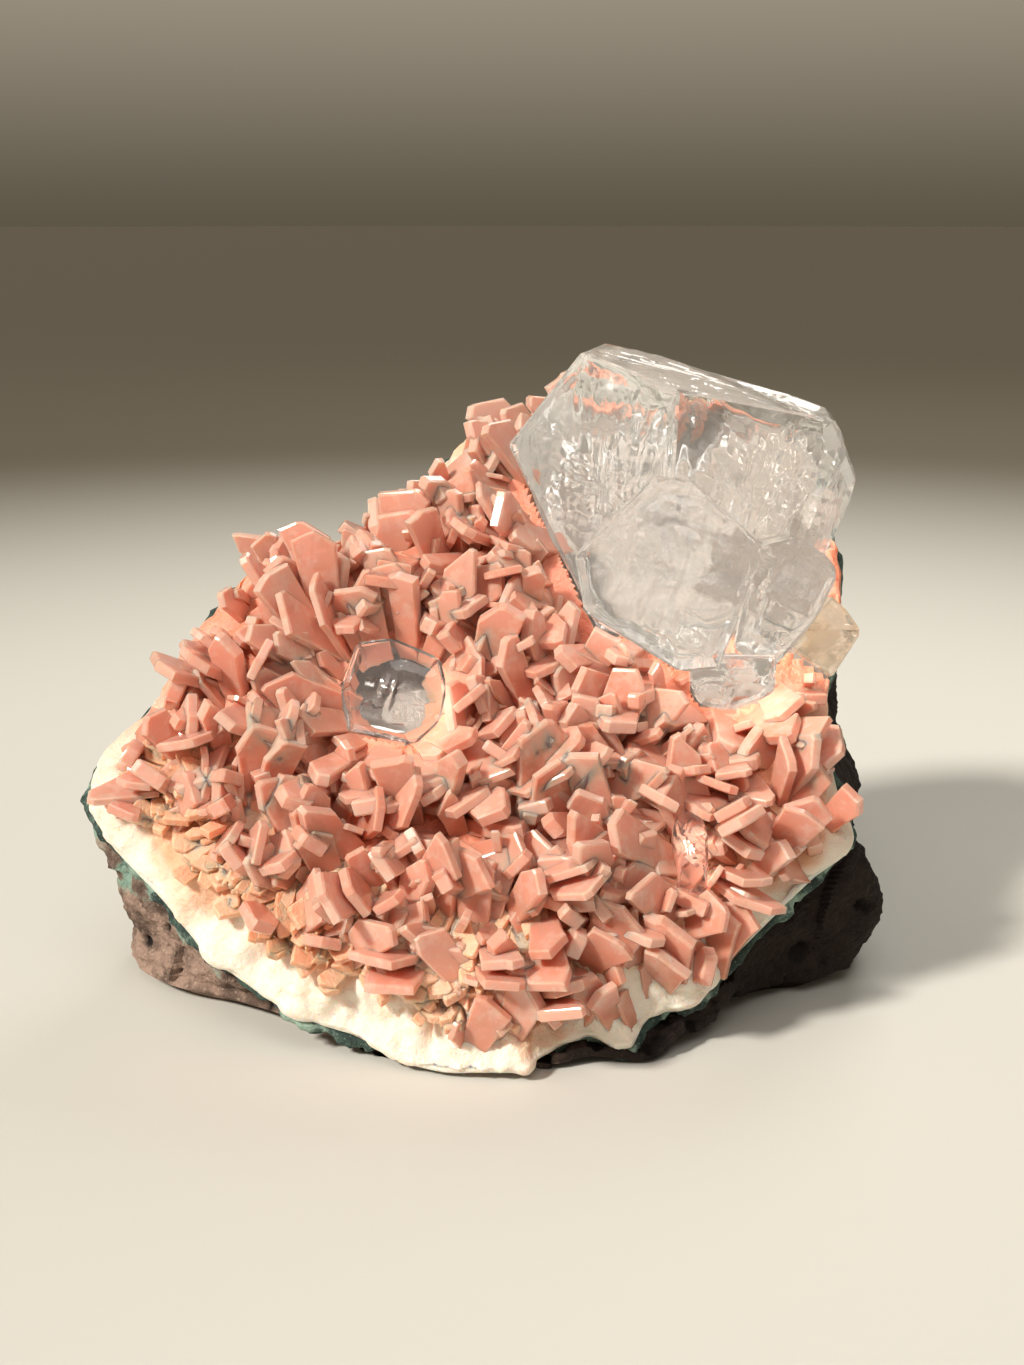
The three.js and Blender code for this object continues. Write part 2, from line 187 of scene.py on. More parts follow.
LOW = ((22, 22, 31.9), (
    (5, -25, 5), (84, 2, 3.7), (67, -46, 3.1), (48, -66, 2.5), (-42, -73, 2.9),
    (-89, -31, 4), (-98, -2, 4.1), (179, 74, 2.3), (180, -42, 5.9),
))
SIDE = ((31.9, 28.5, 34.8), (
    (30, 48, 4.7), (20, -20, 3.9), (95, 45, 3.2), (87, 27, 3.2), (73, -29, 2.7),
    (-84, -53, 2.9), (-112, 36, 2.2), (180, -42, 3.5),
))
SMALL = ((-11.6, 20, 31.3), (
    (3, 24, 4.6), (-92, 20, 4.8), (-153, 73, 5.1), (125, 61, 4.7), (97, 11, 5.1),
    (91, -13, 4.9), (77, -46, 5.1), (-33, -71, 4.5), (-84, -9, 4.8), (180, -42, 7.4),
))
BEAD = ((16.8, 8.5, 19.2), (
    (0, 42, 1.3), (45, 20, 1.3), (-45, 20, 1.3), (0, -20, 1.4), (90, 0, 1.4), (-90, 0, 1.4),
    (0, 85, 1.4), (180, -42, 5.4),
))
BEAD_HEAD = (BEAD[0], BEAD[1][:-1] + ((180, -42, 1.4),))
CLUSTER = (MAIN, FRONT, RIGHT, LOW)

# Camera: place in millimetres about the slope's foot, pitch, and focal length in pixels of the frame.
CAMERA_PLACE = (0.0, -141.4, 76.7)
CAMERA_PITCH = math.radians(15.4)
CAMERA_FOCAL_PIXELS = 1720
FRAME_HEIGHT_PIXELS = 1365
SENSOR = 36

# Places of the lights and the point that they face, in metres.
KEY_PLACE = (-0.9, -0.62, 0.95)
FILL_PLACE = (0.05, -0.33, 0.62)
BACK_PLACE = (0.18, 0.42, 0.42)
LIGHT_TARGET = (0, 0, 0.03)


# Numbers that repeat every run

def chance(item, draw):
    """The same number between 0 and 1 every run: the fraction of a large multiple of a sine."""
    wave = np.sin(np.asarray(item, dtype=float) * 12.9898 + draw * 78.233) * 43758.5453
    return wave - np.floor(wave)


def between(low, high, share):
    """Straight-line value between two ends."""
    return low + (high - low) * share


def smooth(low, high, value):
    """Eased step from 0 at low to 1 at high."""
    t = np.clip((value - low) / (high - low), 0, 1)
    return t * t * (3 - 2 * t)


def lattice(cell, seed):
    """Number between 0 and 1 for each whole-number cell, by mixing the bits of its three indices."""
    x, y, z = (cell[..., axis].astype(np.int64) for axis in range(3))
    mixed = (x * 73856093) ^ (y * 19349663) ^ (z * 83492791) ^ (seed * 2654435761)
    mixed = ((mixed ^ (mixed >> 13)) * 1274126177) & 0xFFFFFFFF
    mixed = mixed ^ (mixed >> 15)
    return (mixed & 0xFFFF) / 65535.0


def noise(points, seed=0):
    """Value noise from -1 to 1: cell corners' numbers blended with an eased weight on each axis."""
    cell = np.floor(points)
    part = points - cell
    weight = part * part * (3 - 2 * part)
    total = np.zeros(points.shape[:-1])
    for corner in np.ndindex(2, 2, 2):
        offset = np.array(corner)
        share = np.prod(np.where(offset == 1, weight, 1 - weight), axis=-1)
        total += share * lattice(cell + offset, seed)
    return total * 2 - 1


def fractal(points, scale, octaves=4, seed=0):
    """Sum of noises, each of half the size and half the height of the one before."""
    total = np.zeros(points.shape[:-1])
    for octave in range(octaves):
        total += noise(points / scale * 2 ** octave, seed + octave) / 2 ** octave
    return total


# Slope, crust and bed

def closed_curve(turn, columns):
    """Smooth closed curve through rows of the rim table, at turns from 0 to 1, by cubic spans."""
    count = len(RIM)
    place = np.asarray(turn) % 1 * count
    index = np.floor(place).astype(int)
    t = (place - index)[..., None]
    table = RIM[:, columns]
    before, here, after, beyond = (table[(index + step) % count] for step in (-1, 0, 1, 2))
    leave = (after - before) / 2
    arrive = (beyond - here) / 2
    cubic = 2 * here - 2 * after + leave + arrive
    square = -3 * here + 3 * after - 2 * leave - arrive
    return ((cubic * t + square) * t + leave) * t + here


def on_face(u, v, h):
    """Point on the slope at u, v and height h, about the part's origin."""
    u, v, h = np.broadcast_arrays(u, v, h)
    x = FACE_FOOT[0] + u - PLAN_MIDDLE[0]
    y = FACE_FOOT[1] + v * math.cos(FACE_TILT) - h * math.sin(FACE_TILT) - PLAN_MIDDLE[1]
    z = FACE_FOOT[2] + v * math.sin(FACE_TILT) + h * math.cos(FACE_TILT)
    return np.stack([x, y, z], axis=-1)


def spread(turn, share):
    """u, v and edge curl at a share of the way from the core to the edge."""
    edge = closed_curve(turn, [0, 1])
    curl = closed_curve(turn, [6])[..., 0]
    u = FACE_CORE[0] + (edge[..., 0] - FACE_CORE[0]) * share
    v = FACE_CORE[1] + (edge[..., 1] - FACE_CORE[1]) * share
    return u, v, curl


def crust_height(u, v, share, curl):
    """Low crown that falls to the edge as the fifth power, with bell-shaped swellings and hollows."""
    height = CRUST_EDGE + (CRUST_CROWN - CRUST_EDGE) * (1 - share ** 5) + curl * share ** 5
    for su, sv, radius, rise in SWELLS:
        bell = np.exp(-((u - su) ** 2 + (v - sv) ** 2) / radius ** 2)
        height = height + rise * bell * (1 - share ** 8)
    return height


def bed_height(share, curl):
    """Underside of the crust: a shallow dish."""
    return CRUST_EDGE - CRUST_EDGE_THICK - CRUST_DISH * (1 - share ** 2) + curl * share ** 2


def place_of(u, v):
    """Share of the way to the edge, curl and blade limit of places, from the spokes beside them."""
    spokes = RIM[:, :2] - FACE_CORE
    after = np.roll(spokes, -1, axis=0)
    x = (u - FACE_CORE[0])[:, None]
    y = (v - FACE_CORE[1])[:, None]
    area = spokes[:, 0] * after[:, 1] - spokes[:, 1] * after[:, 0]
    first = (x * after[:, 1] - y * after[:, 0]) / area
    second = (spokes[:, 0] * y - spokes[:, 1] * x) / area
    spoke = np.argmax((first >= 0) & (second >= 0), axis=1)
    row = np.arange(len(u))
    share = first[row, spoke] + second[row, spoke]
    edge = RIM[spoke]
    bare = (edge[:, 1] < BARE_EDGE_ABOVE) & (edge[:, 0] < BARE_EDGE_LEFT_OF)
    limit = np.where(bare, BARE_EDGE_LIMIT, BLADE_LIMIT)
    return share, edge[:, 6], limit


# Meshes

def grid_faces(rows, columns):
    """Quads of a grid that closes on itself across its columns."""
    row, column = np.meshgrid(np.arange(rows - 1), np.arange(columns), indexing="ij")
    after = (column + 1) % columns
    a = row * columns + column
    b = row * columns + after
    c = (row + 1) * columns + after
    d = (row + 1) * columns + column
    return np.stack([a, d, c, b], axis=-1).reshape(-1, 4)


def grid_normals(points):
    """Unit normals of a closed grid, from the cross product of its neighbouring differences."""
    across = np.roll(points, -1, axis=1) - np.roll(points, 1, axis=1)
    down = np.gradient(points, axis=0)
    normal = np.cross(down, across)
    return normal / np.maximum(np.linalg.norm(normal, axis=-1, keepdims=True), 1e-9)


def closed_skin(points):
    """Vertices and faces of a grid whose first and last rows shrink to one point each."""
    rows, columns = points.shape[:2]
    ends = np.stack([points[0].mean(axis=0), points[-1].mean(axis=0)])
    inner = points[1:-1].reshape(-1, 3)
    quads = grid_faces(rows - 2, columns).tolist()
    column = np.arange(columns)
    after = (column + 1) % columns
    last = (rows - 3) * columns
    top = np.full(columns, len(inner))
    first_fan = np.stack([top, column, after], axis=-1).tolist()
    last_fan = np.stack([top + 1, last + after, last + column], axis=-1).tolist()
    return np.concatenate([inner, ends]), quads + first_fan + last_fan


def make_piece(name, points, faces, replaced, smooth_angle=None):
    """Mesh object in metres that rides on the body and stands for the named nodes."""
    mesh = bpy.data.meshes.new(name)
    mesh.from_pydata((points * MM).tolist(), [], faces)
    mesh.update()
    piece = bpy.data.objects.new(name, mesh)
    bpy.context.scene.collection.objects.link(piece)
    if smooth_angle is not None:
        mesh.shade_smooth()
        mesh.set_sharp_from_angle(angle=smooth_angle)
    claim(piece, replaced)
    return piece


def claim(piece, replaced):
    """Lets a piece ride on the body and stand for nodes, which it hides."""
    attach(piece, "root")
    if replaced:
        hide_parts(*replaced)


def store_masks(mesh, name, masks):
    """Up to four numbers for each vertex, kept as a colour attribute."""
    layer = mesh.attributes.new(name, "FLOAT_COLOR", "POINT")
    layer.data.foreach_set("color", np.ascontiguousarray(masks, dtype=np.float32).ravel())


def store_uv(mesh, name, uv):
    """One pair of numbers for each vertex, copied to its corners."""
    corner = np.empty(len(mesh.loops), dtype=np.int32)
    mesh.loops.foreach_get("vertex_index", corner)
    layer = mesh.uv_layers.new(name=name)
    layer.data.foreach_set("uv", np.ascontiguousarray(uv[corner], dtype=np.float32).ravel())


# Settings

class RockSettings(PropertyGroup):
    """Sizes and colours of the basalt and its green lining."""

    grain: FloatProperty(
        name="Grain", description="Height of the broken surface's grain",
        default=0.00028, unit="LENGTH")
    pits: IntProperty(name="Gas pits", description="How many gas bubbles are broken open", default=170)
    pit_size: FloatProperty(
        name="Pit size", description="Radius of the largest gas pits", default=0.0013, unit="LENGTH")
    # Fresh basalt of the right side, made near black partly as painted shade.
    dark: FloatVectorProperty(
        name="Dark rock", description="Fresh basalt", size=3, subtype="COLOR",
        default=(0.011, 0.007, 0.006))
    light: FloatVectorProperty(
        name="Weathered rock", description="Pinkish weathered basalt", size=3, subtype="COLOR",
        default=(0.36, 0.245, 0.19))
    green: FloatVectorProperty(
        name="Celadonite", description="Dark green lining", size=3, subtype="COLOR",
        default=(0.018, 0.035, 0.030))


class StilbiteSettings(PropertyGroup):
    """Sizes and colours of the crust and the blades."""

    large: IntProperty(name="Large blades", description="Places tried for large blades", default=215)
    medium: IntProperty(name="Medium blades", description="Places tried for medium blades", default=430)
    fine: IntProperty(name="Fine blades", description="Places tried for fine blades", default=680)
    fringe: IntProperty(
        name="Fringe", description="Peach blades that lie towards the bare lower edge", default=260)
    salmon: FloatVectorProperty(
        name="Salmon", description="Colour of most blades", size=3, subtype="COLOR",
        default=(0.87, 0.35, 0.24))
    # Frosted tips and edges, milky clouds, and painted highlight on the blades high on the slope.
    pale: FloatVectorProperty(
        name="Pale tips", description="Frosted tips and edges", size=3, subtype="COLOR",
        default=(0.97, 0.73, 0.62))
    # Deeper salmon: a random tone on the crust, and painted shade at the blades' roots, in the crevices
    # between them.
    deep_and_root_shade: FloatVectorProperty(
        name="Deep roots", description="Crevices between blades", size=3, subtype="COLOR",
        default=(0.74, 0.27, 0.16))
    cream: FloatVectorProperty(
        name="Cream crust", description="Fibrous pale edge of the crust", size=3, subtype="COLOR",
        default=(0.82, 0.58, 0.41))
    stain: FloatVectorProperty(
        name="Iron stain", description="Orange-brown stains on the crust", size=3, subtype="COLOR",
        default=(0.50, 0.17, 0.05))


class ApophylliteSettings(PropertyGroup):
    """Sizes and colours of the clear crystals."""

    bevel: FloatProperty(
        name="Edge wear", description="Width taken off each edge", default=0.00016, unit="LENGTH")
    steps: FloatProperty(
        name="Growth steps", description="Height of the growth steps on a face",
        default=0.00011, unit="LENGTH")
    spacing: FloatProperty(
        name="Grid spacing", description="Distance between points on a face",
        default=0.0004, unit="LENGTH")
    flecks: IntProperty(name="Flecks", description="Small bright cleavage flecks inside", default=900)
    veils: IntProperty(name="Veils", description="Wide faint veils inside", default=230)
    clear: FloatVectorProperty(
        name="Clear", description="Body colour of the clear crystals", size=3, subtype="COLOR",
        default=(0.96, 0.94, 0.90))
    amber: FloatVectorProperty(
        name="Amber", description="Body colour of the side crystal", size=3, subtype="COLOR",
        default=(0.86, 0.76, 0.62))


class StageSettings(PropertyGroup):
    """Floor, lights and camera."""

    floor_near: FloatVectorProperty(
        name="Floor", description="Pale floor round the specimen", size=3, subtype="COLOR",
        default=(0.62, 0.61, 0.56))
    # Far floor, darkened as painted shade so the floor falls off into the dim surroundings.
    far_floor_shade: FloatVectorProperty(
        name="Far floor", description="Floor far behind", size=3, subtype="COLOR",
        default=(0.096, 0.082, 0.056))
    key_power: FloatProperty(name="Key light", description="Strength of the main light", default=4.0)
    key_softness: FloatProperty(
        name="Key softness", description="Angle that the main light fills", subtype="ANGLE",
        default=math.radians(9))
    fill_power: FloatProperty(name="Fill light", description="Power of the soft light", default=1.5)
    back_power: FloatProperty(name="Back light", description="Power of the rim light", default=1.0)
    low_sky: FloatVectorProperty(
        name="Low surroundings", description="Surroundings at the height of the floor", size=3,
        subtype="COLOR", default=(0.107, 0.091, 0.062))
    high_sky: FloatVectorProperty(
        name="Backdrop", description="Lighter band of the surroundings above the floor", size=3,
        subtype="COLOR", default=(0.36, 0.31, 0.24))


# Shader helpers

def add_node(tree, kind, inputs=None, **settings):
    """New node with its settings; inputs are values or other nodes' outputs, by name or number."""
    made = tree.nodes.new(kind)
    for key, value in settings.items():
        setattr(made, key, value)
    for key, value in (inputs or {}).items():
        socket = made.inputs[key]
        if isinstance(value, bpy.types.NodeSocket):
            tree.links.new(value, socket)
        else:
            socket.default_value = value
    return made


def colour(value):
    """Colour setting with full alpha."""
    return (value[0], value[1], value[2], 1.0)


def mix_colour(tree, share, first, second, blend="MIX"):
    """Colour between two others."""
    made = tree.nodes.new("ShaderNodeMix")
    made.data_type = "RGBA"
    made.blend_type = blend
    for socket, value in zip((made.inputs[0], made.inputs[6], made.inputs[7]), (share, first, second)):
        if isinstance(value, bpy.types.NodeSocket):
            tree.links.new(value, socket)
        else:
            socket.default_value = value
    return made.outputs[2]


def math_node(tree, operation, first, second=0.0, clamp=False):
    """One step of arithmetic."""
    return add_node(tree, "ShaderNodeMath", {0: first, 1: second}, operation=operation,
                    use_clamp=clamp).outputs[0]


def ramp(tree, value, low, high):
    """Eased step from 0 at low to 1 at high."""
    return add_node(tree, "ShaderNodeMapRange", {"Value": value, "From Min": low, "From Max": high},
                    interpolation_type="SMOOTHSTEP").outputs["Result"]


def new_material(name):
    """Empty material with a Principled shader."""
    material = bpy.data.materials.new(name)
    material.use_nodes = True
    tree = material.node_tree
    return material, tree, tree.nodes["Principled BSDF"]


def mottle_group():
    """Uneven tone and fine height over Object coordinates, shared by every mineral here."""
    name = "mineral_mottle"
    if name in bpy.data.node_groups:
        return bpy.data.node_groups[name]
    group = bpy.data.node_groups.new(name, "ShaderNodeTree")
    face = group.interface
    size = face.new_socket("Patch Size", in_out="INPUT", socket_type="NodeSocketFloat")
    size.default_value = 400
    fine = face.new_socket("Grain Size", in_out="INPUT", socket_type="NodeSocketFloat")
    fine.default_value = 2500
    face.new_socket("Tone", in_out="OUTPUT", socket_type="NodeSocketFloat")
    face.new_socket("Specks", in_out="OUTPUT", socket_type="NodeSocketFloat")
    face.new_socket("Height", in_out="OUTPUT", socket_type="NodeSocketFloat")
    start = group.nodes.new("NodeGroupInput")
    end = group.nodes.new("NodeGroupOutput")
    place = group.nodes.new("ShaderNodeTexCoord").outputs["Object"]
    patch = add_node(group, "ShaderNodeTexNoise", {
        "Vector": place, "Scale": start.outputs["Patch Size"], "Detail": 5.0, "Roughness": 0.62})
    grain = add_node(group, "ShaderNodeTexNoise", {
        "Vector": place, "Scale": start.outputs["Grain Size"], "Detail": 3.0, "Roughness": 0.7})
    speck = add_node(group, "ShaderNodeTexVoronoi", {
        "Vector": place, "Scale": start.outputs["Grain Size"], "Randomness": 1.0})
    group.links.new(ramp(group, patch.outputs["Fac"], 0.36, 0.66), end.inputs["Tone"])
    group.links.new(ramp(group, speck.outputs["Distance"], 0.30, 0.10), end.inputs["Specks"])
    group.links.new(grain.outputs["Fac"], end.inputs["Height"])
    return group


def add_mottle(tree, patch, grain):
    """The mottle group with its own sizes, in repeats per metre."""
    made = tree.nodes.new("ShaderNodeGroup")
    made.node_tree = mottle_group()
    made.inputs["Patch Size"].default_value = patch
    made.inputs["Grain Size"].default_value = grain
    return made


def masks_of(tree, name):
    """The numbers kept with each vertex, as separate outputs."""
    layer = add_node(tree, "ShaderNodeAttribute", attribute_name=name)
    return add_node(tree, "ShaderNodeSeparateColor", {"Color": layer.outputs["Color"]})


def bump(tree, shader, height, distance, strength=1.0):
    """Fine relief on a shader's normal."""
    made = add_node(tree, "ShaderNodeBump", {
        "Height": height, "Distance": distance, "Strength": strength})
    tree.links.new(made.outputs["Normal"], shader.inputs["Normal"])


# Materials

# Second tones of the minerals: specks, painted shade in the pits, crumbs, rims and veils.
SPECK_TONE = (0.46, 0.36, 0.27, 1)
PIT_SHADE = (0.012, 0.009, 0.008, 1)
MINT_TONE = (0.25, 0.37, 0.30, 1)
LINING_TONE = (0.060, 0.105, 0.085, 1)
LINING_SPECK = (0.22, 0.34, 0.27, 1)
LINING_CRUMB = (0.30, 0.42, 0.34, 1)
CRUST_WHITE = (0.90, 0.76, 0.62, 1)
CRUST_BLUSH = (0.86, 0.50, 0.30, 1)
CRUST_PEACH = (0.90, 0.50, 0.30, 1)
CRUST_RIM = (0.92, 0.82, 0.70, 1)
# Painted shade of the crust under the clear crystals.
CRUST_SHADE_UNDER_CRYSTALS = (0.22, 0.185, 0.16, 1)
BLADE_PINK = (0.92, 0.49, 0.375, 1)
CRYSTAL_MILK = (0.97, 0.965, 0.95, 1)
VEIL_DIM = (0.38, 0.37, 0.355, 1)
VEIL_BRIGHT = (0.52, 0.51, 0.495, 1)


def basalt_material(rock):
    """Dark, grainy basalt that weathers pinkish grey towards the left, with pale specks; its near-black
    right side is fresh rock made blacker still as painted shade.
    """
    material, tree, shader = new_material("basalt")
    mottle = add_mottle(tree, 260, 1500)
    masks = masks_of(tree, "rock_masks")
    worn = math_node(tree, "ADD", mottle.outputs["Tone"], 0.3, clamp=True)
    # Pinkish weathered rock towards the left; the near-black right is partly painted shade.
    weathered_vs_shaded = math_node(tree, "MULTIPLY", masks.outputs["Red"], worn)
    base = mix_colour(tree, weathered_vs_shaded, colour(rock.dark), colour(rock.light))
    speck = math_node(tree, "MULTIPLY", mottle.outputs["Specks"], masks.outputs["Red"])
    speck = math_node(tree, "MULTIPLY", speck, 0.55)
    base = mix_colour(tree, speck, base, SPECK_TONE)
    # Painted shade: the gas pits turn near black inside.
    base = mix_colour(tree, masks.outputs["Green"], base, PIT_SHADE)
    mint = math_node(tree, "MULTIPLY", masks.outputs["Blue"], ramp(tree, mottle.outputs["Tone"], 0.2, 0.7))
    base = mix_colour(tree, mint, base, MINT_TONE)
    tree.links.new(base, shader.inputs["Base Color"])
    rough = add_node(tree, "ShaderNodeMapRange", {
        "Value": mottle.outputs["Height"], "To Min": 0.72, "To Max": 0.98}).outputs["Result"]
    tree.links.new(rough, shader.inputs["Roughness"])
    shader.inputs["Specular IOR Level"].default_value = 0.2
    bump(tree, shader, mottle.outputs["Height"], 0.0006, 0.9)
    return material


def celadonite_material(rock):
    """Dark green earthy skin with paler blue-green crumbs."""
    material, tree, shader = new_material("celadonite")
    mottle = add_mottle(tree, 700, 2600)
    base = mix_colour(tree, mottle.outputs["Tone"], colour(rock.green), LINING_TONE)
    pale = math_node(tree, "MULTIPLY", mottle.outputs["Specks"], 0.5)
    base = mix_colour(tree, pale, base, LINING_SPECK)
    crumbs = add_mottle(tree, 130, 1800)
    base = mix_colour(tree, ramp(tree, crumbs.outputs["Tone"], 0.55, 0.9), base, LINING_CRUMB)
    tree.links.new(base, shader.inputs["Base Color"])
    shader.inputs["Roughness"].default_value = 0.88
    bump(tree, shader, mottle.outputs["Height"], 0.0004, 0.8)
    return material


def crust_material(stilbite):
    """Cream edge, whitest at the rim, that turns salmon under the blades, with iron stains, and painted
    shade under and right beside the clear crystals.
    """
    material, tree, shader = new_material("stilbite_crust")
    mottle = add_mottle(tree, 330, 1900)
    masks = masks_of(tree, "crust_masks")
    pink = mix_colour(tree, mottle.outputs["Tone"], colour(stilbite.deep_and_root_shade), colour(stilbite.salmon))
    pale = mix_colour(tree, mottle.outputs["Tone"], colour(stilbite.cream), CRUST_WHITE)
    wide = add_mottle(tree, 150, 1900)
    blush = math_node(tree, "MULTIPLY", wide.outputs["Tone"], 0.6)
    pale = mix_colour(tree, blush, pale, CRUST_BLUSH)
    base = mix_colour(tree, masks.outputs["Blue"], pink, CRUST_PEACH)
    base = mix_colour(tree, masks.outputs["Red"], base, pale)
    base = mix_colour(tree, masks.outputs["Green"], base, colour(stilbite.stain))
    shade_and_rim = masks_of(tree, "crust_cover")
    base = mix_colour(tree, shade_and_rim.outputs["Green"], base, CRUST_RIM)
    # Painted shade: the crust under the clear crystals turns grey-brown.
    base = mix_colour(tree, shade_and_rim.outputs["Red"], base, CRUST_SHADE_UNDER_CRYSTALS)
    tree.links.new(base, shader.inputs["Base Color"])
    shader.inputs["Roughness"].default_value = 0.42
    shader.inputs["Subsurface Weight"].default_value = 0.8
    shader.inputs["Subsurface Radius"].default_value = (1.0, 0.6, 0.42)
    shader.inputs["Subsurface Scale"].default_value = 0.0008
    bump(tree, shader, mottle.outputs["Height"], 0.0004, 0.7)
    return material


def stilbite_material(stilbite):
    """Translucent salmon blades: painted shade at the roots, paler frosted tips with painted highlight on
    blades high on the slope, fine striations along the blade.
    """
    material, tree, shader = new_material("stilbite_blades")
    masks = masks_of(tree, "blade_masks")
    grain = add_node(tree, "ShaderNodeUVMap", uv_map="along")
    wide = add_node(tree, "ShaderNodeMapping", {"Vector": grain.outputs["UV"], "Scale": (8.0, 0.5, 1.0)})
    stripes = add_node(tree, "ShaderNodeTexNoise", {
        "Vector": wide.outputs["Vector"], "Scale": 1.0, "Detail": 4.0, "Roughness": 0.65})
    mottle = add_mottle(tree, 240, 1700)
    body = mix_colour(tree, masks.outputs["Red"], colour(stilbite.salmon), BLADE_PINK)
    cloud = add_mottle(tree, 650, 2600)
    milky = math_node(tree, "MULTIPLY", ramp(tree, cloud.outputs["Tone"], 0.45, 1.0), 0.3)
    body = mix_colour(tree, milky, body, colour(stilbite.pale))
    # Blue: frosted tips and sides, and painted highlight on the blades high up.
    tip = math_node(tree, "MULTIPLY", masks.outputs["Blue"], 0.75)
    body = mix_colour(tree, tip, body, colour(stilbite.pale))
    # Painted shade: blades turn deeper salmon towards their roots, down in the crevices.
    root = ramp(tree, masks.outputs["Green"], 0.42, 0.0)
    body = mix_colour(tree, math_node(tree, "MULTIPLY", root, 0.7), body, colour(stilbite.deep_and_root_shade))
    rust = math_node(tree, "MULTIPLY", ramp(tree, mottle.outputs["Tone"], 0.75, 1.0), 0.18)
    body = mix_colour(tree, rust, body, colour(stilbite.stain))
    tree.links.new(body, shader.inputs["Base Color"])
    rough = add_node(tree, "ShaderNodeMapRange", {
        "Value": stripes.outputs["Fac"], "To Min": 0.08, "To Max": 0.30}).outputs["Result"]
    tree.links.new(rough, shader.inputs["Roughness"])
    shader.inputs["IOR"].default_value = 1.5
    shader.inputs["Transmission Weight"].default_value = 0.2
    shader.inputs["Subsurface Weight"].default_value = 0.85
    shader.inputs["Subsurface Radius"].default_value = (1.0, 0.5, 0.36)
    shader.inputs["Subsurface Scale"].default_value = 0.0014
    shader.inputs["Coat Weight"].default_value = 0.5
    shader.inputs["Coat Roughness"].default_value = 0.04
    bump(tree, shader, stripes.outputs["Fac"], 0.00006, 0.22)
    return material


def apophyllite_material(name, body, density, absorb, clearness):
    """Clear, slightly milky crystal: plain transmission, with a tint that deepens with thickness."""
    material, tree, shader = new_material(name)
    mottle = add_mottle(tree, 170, 900)
    tone = mix_colour(tree, mottle.outputs["Tone"], colour(body), CRYSTAL_MILK)
    tree.links.new(tone, shader.inputs["Base Color"])
    rough = add_node(tree, "ShaderNodeMapRange", {
        "Value": mottle.outputs["Tone"], "To Min": 0.0, "To Max": 0.05}).outputs["Result"]
    tree.links.new(rough, shader.inputs["Roughness"])
    shader.inputs["IOR"].default_value = 1.535
    shader.inputs["Transmission Weight"].default_value = clearness
    bump(tree, shader, mottle.outputs["Height"], 0.00004, 0.25)
    volume = add_node(tree, "ShaderNodeVolumeAbsorption", {"Color": colour(absorb), "Density": density})
    tree.links.new(volume.outputs["Volume"], tree.nodes["Material Output"].inputs["Volume"])
    return material


def veil_material():
    """Bright cleavage flecks and milky veils inside the clear crystals."""
    material, tree, shader = new_material("apophyllite_veils")
    mottle = add_mottle(tree, 900, 2400)
    tree.links.new(
        mix_colour(tree, mottle.outputs["Tone"], VEIL_DIM, VEIL_BRIGHT),
        shader.inputs["Base Color"])
    shader.inputs["Roughness"].default_value = 0.25
    masks = masks_of(tree, "veil_masks")
    alpha = math_node(tree, "MULTIPLY", masks.outputs["Red"], mottle.outputs["Tone"])
    tree.links.new(alpha, shader.inputs["Alpha"])
    return material


# Rock and lining

